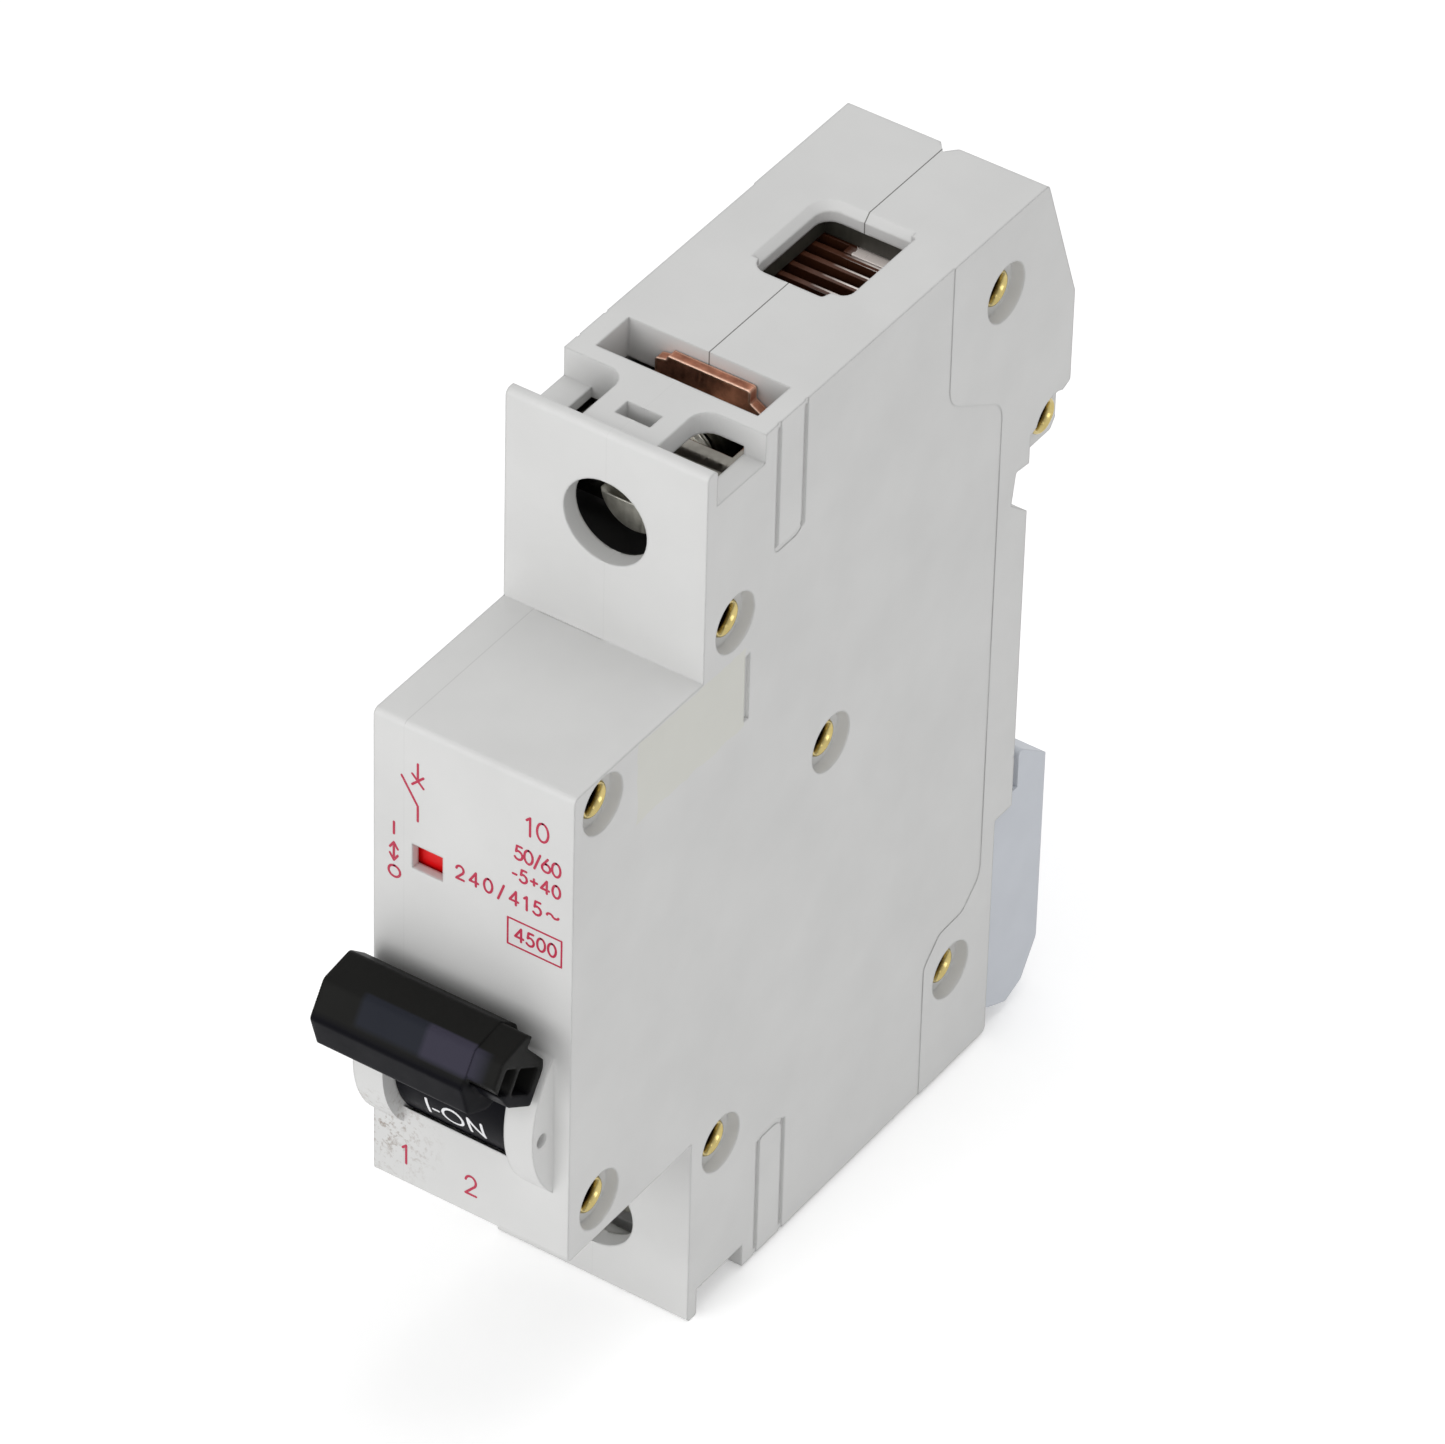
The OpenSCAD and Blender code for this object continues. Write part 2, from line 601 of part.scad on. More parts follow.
// Two side plates on a hub, joined by a web, with a slot for the link
module contact_carrier() {
  color([0.35, 0.33, 0.3]) difference() {
    union() {
      for (x = [[-2.5, -1.5], [1.5, 2.5]]) yz(x[0], x[1]) polygon(rounded([
        [knee.x - 2.2, knee.y - 2.6, 1.8], [knee.x + 2.6, knee.y - 2.6, 1.8],
        [piv.x + 3.4, piv.y - 2, 2], [piv.x + 3.2, piv.y + 7.5, 1],
        [piv.x - 1.2, piv.y + 7.5, 1], [piv.x - 2.7, piv.y, 1.5]]));
      bar_x(piv.x, piv.y, 2.6, -2.5, 2.5);
      box([-1.5, piv.x + 1.5, knee.y + 3], [1.5, piv.x + 2.6, piv.y - 1.5]);
    }
    bar_x(piv.x, piv.y, pin_r + run_gap, -3, 3);
    // Open pivot: the slot takes up what the constant ratios leave over
    yz(-3, 3) polygon(rounded([[knee.x - 1.05, knee.y - 1.7, 0.8],
      [knee.x + 1.05, knee.y - 1.7, 0.8], [knee.x + 1.05, knee.y + 1.7, 0.8],
      [knee.x - 1.05, knee.y + 1.7, 0.8]]));
    bar_x(latch_at.x, latch_at.y, 0.81, -3, 3);
  }
}

arm_tip = [piv.x + 5.2, piv.y + 16];

module contact_arm() {
  color([0.72, 0.42, 0.26]) yz(-1.5, 1.5) polygon(rounded([
    [piv.x - 0.8, piv.y + 3.4, 0.3], [piv.x + 1.6, piv.y + 3.4, 0.5],
    [piv.x + 2.8, piv.y + 7, 2], [arm_tip.x + 1.2, arm_tip.y - 1, 0.6],
    [arm_tip.x + 1, arm_tip.y + 0.6, 0.5], [arm_tip.x - 0.6, arm_tip.y + 0.6, 0.3],
    [arm_tip.x - 0.9, arm_tip.y - 1.6, 0.5], [piv.x + 0.4, piv.y + 8, 2]]));
}

module contact_tip() {
  w = arm_tip - [0.75, 0.6];
  color([0.8, 0.8, 0.8]) intersection() {
    yz(-1.5, 1.5) polygon([[w.x - 0.8, w.y + 1.1], [w.x - 1.0, w.y - 0.9],
      [w.x + 0.02, w.y - 1.06], [w.x + 0.2, w.y + 1.0]]);
    difference() {
      box([-2, w.x - 3, w.y - 3], [2, w.x + 3, w.y + 3]);
      contact_arm();
    }
  }
}

// Torsion spring that throws the carrier open
module contact_spring() {
  color([0.55, 0.55, 0.57]) translate([-4.9, piv.x, piv.y]) rotate([0, 90, 0])
    helix(2.2, 0.4, 0.95, 2, 14, 6);
}

module trip_latch() {
  p = latch_at;
  color([0.5, 0.5, 0.53]) difference() {
    yz(2.75, 3.25) polygon(rounded([
      [p.x - 1.1, p.y + 1.8, 0.8], [p.x + 1.5, p.y + 1.8, 0.8],
      [p.x + 1.5, p.y - 3, 1], [p.x + 0.6, knee.y - 2.2, 0.5],
      [p.x - 1.3, knee.y - 2.2, 0.3], [p.x - 1.1, p.y - 4.2, 0.6]]));
    bar_x(p.x, p.y, 0.8 + run_gap, 2, 4);
  }
}

module latch_pin() {
  color([0.62, 0.62, 0.64]) bar_x(latch_at.x, latch_at.y, 0.8, 1.5, 3.3);
}

// Lever that the plunger strikes above and the bimetal lifts below
module trip_lever() {
  foot = [-14.4, bimetal_z + 1.2];
  color([0.8, 0.78, 0.7]) difference() {
    union() {
      bar_x(piv.x, piv.y, 2.4, 3.65, 5.4);
      yz(3.65, 5.4) {
        polygon(rounded([[piv.x - 0.5, piv.y - 2.2, 0], [piv.x + 1, piv.y + 2, 0],
          [coil_at + 3.3, piv.y + 6.3, 1], [coil_at + 3.3, yoke_lo - 0.7, 0],
          [coil_at + 1.3, yoke_lo - 0.7, 0], [coil_at + 1.3, piv.y + 4.3, 1.5]]));
        polygon(rounded([[piv.x - 1.2, piv.y - 1.8, 0], [piv.x + 2.2, piv.y + 1, 0],
          [foot.x + 1.1, foot.y + 2, 0.8], [foot.x + 1.1, foot.y, 0.3],
          [foot.x - 1.1, foot.y, 0.3], [foot.x - 1.4, foot.y + 2, 1]]));
      }
      // Striking pad under the plunger's pin and foot over the bimetal
      box([-1.5, coil_at - 0.9, yoke_lo - 1.9], [5.4, coil_at + 3.3, yoke_lo - 0.7]);
      box([-1.5, foot.x - 1.1, foot.y], [5.4, foot.x + 1.1, foot.y + 1]);
    }
    bar_x(piv.x, piv.y, pin_r + run_gap, 3, 6);
  }
}

// ---- Solenoid ------------------------------------------------------------

module solenoid_coil() {
  gap = (coil_z1 - coil_z0 - 2 * coil_wire - 0.2) / coil_turns;
  color([0.72, 0.4, 0.24]) translate([0, coil_at, coil_z0 + coil_wire + 0.1])
    helix(coil_r, coil_wire, gap, coil_turns, 20, 8);
}

module coil_bobbin() {
  color([0.86, 0.84, 0.76]) difference() {
    union() {
      bar_z(0, coil_at, coil_r - coil_wire - 0.1, coil_z0 - 0.8, coil_z1 + 0.8);
      bar_z(0, coil_at, coil_r + coil_wire + 0.5, coil_z0 - 0.8, coil_z0);
      bar_z(0, coil_at, coil_r + coil_wire + 0.5, coil_z1, coil_z1 + 0.8);
    }
    bar_z(0, coil_at, bore_r, coil_z0 - 2, coil_z1 + 2);
  }
}

// Steel frame: bottom, front and top plates in one bent piece
module magnet_yoke() {
  yf = -40.9;
  z1 = coil_z1 + 0.8;
  color([0.5, 0.52, 0.54]) difference() {
    union() {
      box([-5, yf, yoke_lo], [5, coil_at + 4, yoke_lo + yoke_t]);
      box([-5, yf, yoke_lo], [5, yf + yoke_t, z1 + 0.9]);
      box([-4.4, yf, z1], [4.4, coil_at + 4, z1 + 0.9]);
    }
    bar_z(0, coil_at, 1.5, yoke_lo - 1, yoke_lo + 3);
    bar_z(0, coil_at, bore_r + 0.2, z1 - 1, z1 + 2);
    // The top plate leaves the rivet post free
    bar_x(rivets[2].x, rivets[2].y, post_r + 0.25, -6, 6);
  }
}

module fixed_core() {
  color([0.55, 0.56, 0.58]) difference() {
    union() {
      bar_z(0, coil_at, bore_r - 0.02, yoke_lo + yoke_t, coil_z0 + 2.4);
      bar_z(0, coil_at, 1.5, yoke_lo, yoke_lo + yoke_t);
    }
    bar_z(0, coil_at, link_wire + run_gap, yoke_lo - 1, coil_z0 + 4);
  }
}

module plunger() {
  z0 = coil_z0 + 2.4 + stroke + 0.4;
  color([0.55, 0.56, 0.58]) {
    bar_z(0, coil_at, bore_r - 0.08, z0, coil_z1 - 0.6);
    bar_z(0, coil_at, link_wire, yoke_lo - 0.3, z0);
  }
}

module plunger_spring() {
  z0 = coil_z0 + 2.4;
  color([0.6, 0.6, 0.62]) translate([0, coil_at, z0 + 0.2])
    helix(1.15, 0.18, (stroke + 0.4 - 0.4) / 3, 3, 10, 6);
}

// ---- Fixed contact and arc chute -----------------------------------------

fix_y = arm_tip.x - 2.6;

chute_x = inner_x - 0.85;
chute_y = -16.2;
chute_half = (plate_n - 1) * plate_pitch / 2;
chute_y1 = chute_y + chute_half;
chute_top = top_h - 3.2;
// Rear face of the fixed contact's upright leg, clear of the first plate
leg_gap = 0.35;
leg_y = chute_y - chute_half - plate_t / 2 - leg_gap;

// Strip from the foot of the coil to the contact face and up beside the chute
module fixed_contact() {
  t = 1;
  z = arm_tip.y;
  color([0.72, 0.42, 0.26]) yz(-2.5, 2.5) polygon(rounded([
    [coil_at + 5.2, z + 3.3, 0], [coil_at + 5.2, z + 2.3, 0],
    [fix_y - t, z + 2.3, 1], [fix_y - t, z - 2.4, 0], [fix_y, z - 2.4, 0.4],
    [fix_y, z + 3.6, 1], [leg_y, z + 6.5, 1], [leg_y, top_h - 8, 0.3],
    [leg_y - t, top_h - 8, 0.3], [leg_y - t, z + 6, 0],
    [fix_y - 1.9, z + 3.3, 0]]));
}

module fixed_contact_tip() {
  z = arm_tip.y;
  color([0.8, 0.8, 0.8]) box([-1.8, fix_y, z - 2.1], [1.8, fix_y + 0.75, z + 0.8]);
}

// Steel plates, each with a tapered notch facing the contacts
module splitter_plates() {
  y0 = chute_y - chute_half;
  color([0.45, 0.3, 0.22]) {
    for (i = [0:plate_n - 1])
      xz(y0 + i * plate_pitch - plate_t / 2, y0 + i * plate_pitch + plate_t / 2)
        difference() {
          polygon([[-chute_x, 20.5], [-chute_x, chute_top], [chute_x, chute_top],
            [chute_x, 20.5]]);
          polygon([[-4.4, 20], [4.4, 20], [i % 2 == 0 ? 1.4 : 0.2, 27],
            [i % 2 == 0 ? -0.2 : -1.4, 27]]);
        }
    // The rearmost plate is bent forward at its top
    box([-1.2, chute_y1 - plate_pitch + plate_t / 2 + 0.15, chute_top - 0.4],
      [chute_x - 0.4, chute_y1, chute_top]);
  }
}

// Side boards; the left one has a shelf over the plates and a lip up to the vent
module chute_sides() {
  y0 = chute_y - chute_half - 0.7;
  y1 = chute_y1 + 0.7;
  z = chute_top + 0.15;
  lip_z = top_h - wall - 0.05;
  color([0.2, 0.2, 0.19]) {
    for (s = [0, 1]) mirror([s, 0, 0])
      box([chute_x, y0, 18.7], [inner_x - 0.1, y1, top_h - 2.6]);
    box([-inner_x + 0.1, y0 + 1, z], [-3.55, y1, z + 0.4]);
    box([-3.95, y0 + 3, z], [-3.55, y1, lip_z]);
    box([-3.95, chute_y1 - 0.15, z], [4.9, chute_y1 + 0.25, lip_z]);
  }
}

module rear_arc_runner() {
  color([0.5, 0.5, 0.52]) yz(-2.6, 2.6) polygon(rounded([
    [-7.6, -16, 0.3], [-6.7, -16, 0.3], [-6.7, 24, 0], [-8, 26.5, 0.6],
    [-8, 37, 0.3], [-8.8, 37, 0.3], [-8.8, 26, 0.6], [-7.6, 23.6, 0]]));
}

// ---- Overload release ----------------------------------------------------

module bimetal_strip() {
  t = bimetal_t;
  color([0.66, 0.6, 0.52]) {
    bar_x(bimetal_y, bimetal_z - t / 2, t / 2, -2.6, 2.6);
    box([-2.6, bimetal_y, bimetal_z - t], [2.6, -13.2, bimetal_z]);
  }
}

// Bare copper braid from the bimetal's end up to the moving contact arm
module flexible_braid() {
  color([0.74, 0.45, 0.28]) yz(-1, 1) polygon(rounded([
    [-17.2, bimetal_z + 0.05, 0.2], [-15.9, bimetal_z + 0.05, 0.2],
    [-15.9, -15, 3], [-16.4, -5, 2.5], [piv.x + 4.3, -0.3, 0.5],
    [piv.x + 3.6, -1.3, 0.5], [-17.6, -5.8, 2], [-17.1, -15, 3]]));
}

module calibration_screw() {
  color([0.75, 0.65, 0.4]) {
    bar_z(0, -33, 0.95, bimetal_z - bimetal_t - 3.2, bimetal_z - bimetal_t);
  }
}

module calibration_nut() {
  z1 = bimetal_z - bimetal_t - 1.1;
  color([0.6, 0.6, 0.62]) difference() {
    box([-5, -34.3, z1], [5, -31.6 + 0.7, z1 + 0.8]);
    bar_z(0, -33, 0.97, z1 - 1, z1 + 2);
    box([strip_x0 - 0.2, strip_y - strip_t - 0.1, z1 - 1], [6, strip_y + 2, z1 + 2]);
  }
}

// ---- Terminals -----------------------------------------------------------

// Copper strip beside the conductor slot, narrowed at its upper end
module terminal_strip(h, z_in) {
  xz(strip_y - strip_t, strip_y) polygon(rounded([[strip_x0, z_in, 0],
    [strip_x1, z_in, 0], [strip_x1, h - 2.9, 0.2], [4.3, h - 2.2, 0.2],
    [4.3, h - 1.1, 0.25], [strip_x0 + 1.1, h - 1.1, 0.2], [strip_x0 + 1, h - 1.5, 0.1],
    [strip_x0, h - 1.7, 0.2]], 3));
}

module upper_terminal_strip() {
  color([0.72, 0.42, 0.26]) {
    terminal_strip(top_h, coil_z1 + 2.6);
    box([strip_x0, coil_at + 1.2, coil_z1 + 1.75], [strip_x1, strip_y, coil_z1 + 2.65]);
  }
}

module lower_terminal_strip() {
  color([0.72, 0.42, 0.26]) {
    lower_end() terminal_strip(bot_h, -bimetal_z + bimetal_t + strip_t - 0.01);
    box([-3, strip_y - strip_t, bimetal_z - bimetal_t - strip_t],
      [3, strip_y + 1, bimetal_z - bimetal_t]);
  }
}

// Box clamp: threaded front wall, two sides and the rear wall behind the strip
module clamp_cage() {
  z0 = screw_z - cage_z;
  z1 = screw_z + cage_z;
  color([0.75, 0.75, 0.76]) difference() {
    box([-cage_x, nut_y0, z0], [cage_x, strip_y + 0.05 + cage_wall, z1]);
    box([-cage_x + 0.9, nut_y1, z0 - 1], [cage_x - 0.9, strip_y + 0.02, z1 + 1]);
    bar_y(0, screw_z, screw_r + run_gap, nut_y0 - 1, nut_y1 + 1);
  }
}

// Pressure plate carried on the screw's end
module clamp_plate() {
  color([0.7, 0.7, 0.72]) difference() {
    box([-cage_x + 1.4, plate_y1 - plate_th, screw_z - 3.4],
      [cage_x - 1.4, plate_y1, screw_z + 3.4]);
    bar_y(0, screw_z, 1.2 + run_gap, plate_y1 - 2, plate_y1 + 1);
  }
}

// Clamp screw with a cross slot in its head
module clamp_screw() {
  y0 = head_y1 - head_t;
  color([0.78, 0.78, 0.78]) {
    difference() {
      bar_y(0, screw_z, screw_head_r, y0, head_y1);
      for (a = [0, 90]) translate([0, 0, screw_z]) rotate([0, a, 0])
        box([-2.4, y0 - 1, -0.45], [2.4, y0 + 1, 0.45]);
    }
    bar_y(0, screw_z, screw_r, head_y1, plate_y1 - plate_th - 0.05);
    bar_y(0, screw_z, 1.2, plate_y1 - plate_th - 0.05, plate_y1 - 0.1);
  }
}

module upper_clamp_cage() { clamp_cage(); }
module lower_clamp_cage() { lower_end() clamp_cage(); }
module upper_clamp_plate() { clamp_plate(); }
module lower_clamp_plate() { lower_end() clamp_plate(); }
module upper_clamp_screw() { clamp_screw(); }
module lower_clamp_screw() { lower_end() clamp_screw(); }

right_case();
left_case();
case_rivets();
rail_clip();
clip_spring();
toggle_handle();
toggle_axle();
toggle_spring();
toggle_link();
indicator_flag();
flag_slider();
mechanism_pin();
contact_carrier();
contact_arm();
contact_tip();
contact_spring();
trip_latch();
latch_pin();
trip_lever();
solenoid_coil();
coil_bobbin();
magnet_yoke();
fixed_core();
plunger();
plunger_spring();
fixed_contact();
fixed_contact_tip();
splitter_plates();
chute_sides();
rear_arc_runner();
bimetal_strip();
flexible_braid();
calibration_screw();
calibration_nut();
upper_terminal_strip();
lower_terminal_strip();
upper_clamp_cage();
lower_clamp_cage();
upper_clamp_plate();
lower_clamp_plate();
upper_clamp_screw();
lower_clamp_screw();
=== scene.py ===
"""Looks of a single-pole miniature circuit breaker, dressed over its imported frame.

Lengths are metres in the frame's own axes: X runs across the width, Y from the front (-)
to the rail (+), and Z upward along the wall. MM turns millimetres into metres.
"""

import logging
import math
from dataclasses import dataclass, field
from enum import Enum
from typing import Callable, Dict, List, Optional, Sequence, Tuple

import bpy
import numpy as np
from mathutils import Matrix, Vector


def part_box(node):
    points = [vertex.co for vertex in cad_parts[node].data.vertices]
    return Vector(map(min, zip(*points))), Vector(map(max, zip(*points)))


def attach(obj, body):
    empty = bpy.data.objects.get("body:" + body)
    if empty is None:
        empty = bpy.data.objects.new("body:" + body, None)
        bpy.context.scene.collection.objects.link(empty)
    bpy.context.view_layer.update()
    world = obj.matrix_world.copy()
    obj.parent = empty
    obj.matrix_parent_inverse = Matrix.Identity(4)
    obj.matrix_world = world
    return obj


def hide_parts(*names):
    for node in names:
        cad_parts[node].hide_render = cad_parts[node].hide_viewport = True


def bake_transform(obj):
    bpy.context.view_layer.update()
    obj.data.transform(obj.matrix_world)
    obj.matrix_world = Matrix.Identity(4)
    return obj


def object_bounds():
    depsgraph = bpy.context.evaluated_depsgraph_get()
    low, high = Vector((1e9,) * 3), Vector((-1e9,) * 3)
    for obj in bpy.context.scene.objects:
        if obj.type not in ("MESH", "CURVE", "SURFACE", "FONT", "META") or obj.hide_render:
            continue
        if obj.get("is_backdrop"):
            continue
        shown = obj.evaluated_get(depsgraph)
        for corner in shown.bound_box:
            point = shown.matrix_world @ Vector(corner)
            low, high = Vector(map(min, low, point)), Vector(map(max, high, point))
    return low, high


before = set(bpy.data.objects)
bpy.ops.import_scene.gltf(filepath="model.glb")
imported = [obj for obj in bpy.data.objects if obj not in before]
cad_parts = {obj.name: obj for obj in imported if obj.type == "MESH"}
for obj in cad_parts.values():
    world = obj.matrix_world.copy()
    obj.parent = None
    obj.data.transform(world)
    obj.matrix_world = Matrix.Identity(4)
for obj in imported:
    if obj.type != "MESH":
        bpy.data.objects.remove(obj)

log = logging.getLogger("breaker")

MM = 0.001
TAU = 2.0 * math.pi
SHARP_DEG = 40.0

Array = np.ndarray


# ---- Colour and node helpers ---------------------------------------------------


def linear(hex_colour: str) -> Tuple[float, float, float, float]:
    """Turns an sRGB hex colour into the linear RGBA that shaders take.

    Args:
        hex_colour: Colour such as "#C8C8C6".

    Returns:
        Red, green, blue and an alpha of 1, all linear.
    """
    parts = [int(hex_colour[i : i + 2], 16) / 255.0 for i in (1, 3, 5)]
    lin = [c / 12.92 if c <= 0.04045 else ((c + 0.055) / 1.055) ** 2.4 for c in parts]
    return (lin[0], lin[1], lin[2], 1.0)


def add_node(
    tree: bpy.types.NodeTree,
    kind: str,
    settings: Optional[Dict[str, object]] = None,
    inputs: Optional[Dict[object, object]] = None,
) -> bpy.types.Node:
    """Adds one shader node, with its settings and what feeds it.

    Args:
        tree: Node tree that receives the node.
        kind: Type name without its "ShaderNode" prefix.
        settings: Attributes of the node.
        inputs: Input names or numbers, each with a constant or an output socket.

    Returns:
        The new node.
    """
    node = tree.nodes.new("ShaderNode" + kind)
    for key, value in (settings or {}).items():
        setattr(node, key, value)
    for key, value in (inputs or {}).items():
        socket = node.inputs[key]
        if isinstance(value, bpy.types.NodeSocket):
            tree.links.new(value, socket)
        else:
            socket.default_value = value
    return node


def per_metre(size_mm: float) -> float:
    """Texture scale whose features are size_mm across on Object coordinates."""
    return 1.0 / (size_mm * MM)


# ---- Mesh helpers --------------------------------------------------------------


def grid_faces(rows: int, cols: int) -> Array:
    """Quads of a grid of points whose columns close on themselves.

    Args:
        rows: Stations along the surface.
        cols: Points round each station.

    Returns:
        Vertex numbers of the quads, four to a row.
    """
    i, j = np.meshgrid(np.arange(rows - 1), np.arange(cols), indexing="ij")
    k, m = i + 1, (j + 1) % cols
    quads = np.stack([i * cols + j, i * cols + m, k * cols + m, k * cols + j], axis=-1)
    return quads.reshape(-1, 4)


def outward(points: Array, faces: List[Sequence[int]]) -> List[Sequence[int]]:
    """Turns closed faces round if they enclose a negative volume.

    The signed volume is the sum over fans of a . (b x c) / 6.

    Args:
        points: Points of the body, (n, 3).
        faces: Closed faces as vertex numbers.

    Returns:
        The faces, all turned outward.
    """
    fans = [(f[0], f[k], f[k + 1]) for f in faces for k in range(1, len(f) - 1)]
    tri = points[np.array(fans)]
    volume = np.einsum("ij,ij->i", tri[:, 0], np.cross(tri[:, 1], tri[:, 2])).sum()
    return [list(reversed(f)) for f in faces] if volume < 0 else faces


@dataclass
class Surface:
    """Points and faces of one closed body, ready to join others in a mesh."""

    points: Array
    faces: List[Sequence[int]]

    def turned(self, matrix: Matrix) -> "Surface":
        """The same body after a rigid move."""
        m = np.array(matrix)
        return Surface(self.points @ m[:3, :3].T + m[:3, 3], self.faces)


def tube(stations: Array) -> Surface:
    """Closes a grid of stations (n, m, 3) into a body with a flat face at each end.

    Args:
        stations: Closed outlines one after the other.

    Returns:
        The closed body.
    """
    rows, cols = stations.shape[:2]
    faces: List[Sequence[int]] = grid_faces(rows, cols).tolist()
    faces.append(list(range(cols - 1, -1, -1)))
    faces.append(list(range((rows - 1) * cols, rows * cols)))
    points = stations.reshape(-1, 3)
    return Surface(points, outward(points, faces))


def sweep(path: Array, profile: Array, side: Array) -> Surface:
    """Carries a closed profile along a path.

    At each station t is the path's direction, n = side x t and b = t x n, both of unit
    length, and profile point (p, q) lands on path + p n + q b.

    Args:
        path: Points of the path, (n, 3).
        profile: Closed outline, (m, 2).
        side: Reference direction that is never along the path.

    Returns:
        The closed body.
    """
    t = np.gradient(path, axis=0)
    t /= np.linalg.norm(t, axis=1, keepdims=True)
    n = np.cross(side, t)
    n /= np.linalg.norm(n, axis=1, keepdims=True)
    b = np.cross(t, n)
    p, q = profile[None, :, 0, None], profile[None, :, 1, None]
    return tube(path[:, None] + p * n[:, None] + q * b[:, None])


def circle(radius: float, points: int) -> Array:
    """Outline of a circle: radius (cos a, sin a)."""
    a = np.arange(points) * TAU / points
    return radius * np.stack([np.cos(a), np.sin(a)], axis=-1)


def make_piece(name: str, bodies: Sequence[Surface], material: bpy.types.Material,
               smooth: bool = True) -> bpy.types.Object:
    """Joins closed bodies into one object whose place is in its mesh.

    Args:
        name: Piece name.
        bodies: The bodies.
        material: What the piece is made of.
        smooth: Whether the faces are shaded smooth up to SHARP_DEG.

    Returns:
        The new object, linked to the scene.
    """
    offset, points, faces = 0, [], []
    for body in bodies:
        points.append(body.points)
        faces += [[v + offset for v in f] for f in body.faces]
        offset += len(body.points)
    mesh = bpy.data.meshes.new(name)
    mesh.from_pydata(np.concatenate(points).tolist(), [], faces)
    mesh.update()
    if smooth:
        mesh.shade_smooth()
        mesh.set_sharp_from_angle(angle=math.radians(SHARP_DEG))
    mesh.materials.append(material)
    piece = bpy.data.objects.new(name, mesh)
    bpy.context.scene.collection.objects.link(piece)
    return piece


def dress(stocks: Dict[str, "Stock"]) -> None:
    """Gives each named CAD node one finish in place of those that it has.

    Args:
        stocks: Node names, each with its finish.
    """
    for name, stock in stocks.items():
        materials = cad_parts[name].data.materials
        materials.clear()
        materials.append(stock.material())


# ---- Finishes --------------------------------------------------------------------


def inside(tree: bpy.types.NodeTree,
           limits: Sequence[Tuple[bpy.types.NodeSocket, Optional[float], Optional[float]]],
           ) -> bpy.types.NodeSocket:
    """Mask that is 1 where every value lies between its two limits, else 0.

    Args:
        tree: Node tree that the mask is made in.
        limits: Values, each with a lower and an upper limit, or None where it has none.

    Returns:
        The mask.
    """
    mask = None
    for value, low, high in limits:
        for operation, limit in (("GREATER_THAN", low), ("LESS_THAN", high)):
            if limit is None:
                continue
            test = add_node(tree, "Math", {"operation": operation}, {0: value, 1: limit})
            mask = test.outputs[0] if mask is None else add_node(
                tree, "Math", {"operation": "MULTIPLY"},
                {0: mask, 1: test.outputs[0]}).outputs[0]
    return mask


@dataclass(frozen=True)
class Finish:
    """What every finish has: a name, a colour, a gloss and a softened edge."""

    name: str
    colour: str
    roughness: float
    edge_mm: float = 0.12

    def start(self) -> Tuple[bpy.types.NodeTree, bpy.types.Node, bpy.types.NodeSocket]:
        """Opens the material with its shader and its Object coordinates.

        Returns:
            The node tree, the shader node and the coordinate socket.
        """
        material = bpy.data.materials.new(self.name)
        material.use_nodes = True
        tree = material.node_tree
        shader = tree.nodes["Principled BSDF"]
        shader.inputs["Base Color"].default_value = linear(self.colour)
        shader.inputs["Roughness"].default_value = self.roughness
        where = add_node(tree, "TexCoord").outputs["Object"]
        return tree, shader, where

    def edged(self, tree: bpy.types.NodeTree) -> bpy.types.NodeSocket:
        """Normal that rounds every sharp edge to the finish's own radius."""
        node = add_node(tree, "Bevel", {"samples": 6}, {"Radius": self.edge_mm * MM})
        return node.outputs["Normal"]

    def reopened(self, material: bpy.types.Material) -> Tuple[
            bpy.types.NodeTree, bpy.types.Node, bpy.types.NodeSocket,
            bpy.types.NodeSocket]:
        """Opens a built material again, to paint marks over its colour.

        Args:
            material: The material, whose colour comes from a node.

        Returns:
            The node tree, the shader, Object coordinates and the colour so far.
        """
        tree = material.node_tree
        shader = tree.nodes["Principled BSDF"]
        colour = shader.inputs["Base Color"].links[0].from_socket
        return tree, shader, add_node(tree, "TexCoord").outputs["Object"], colour

    def build(self) -> bpy.types.Material:
        """Makes the material. Each finish says what its surface is."""
        raise NotImplementedError


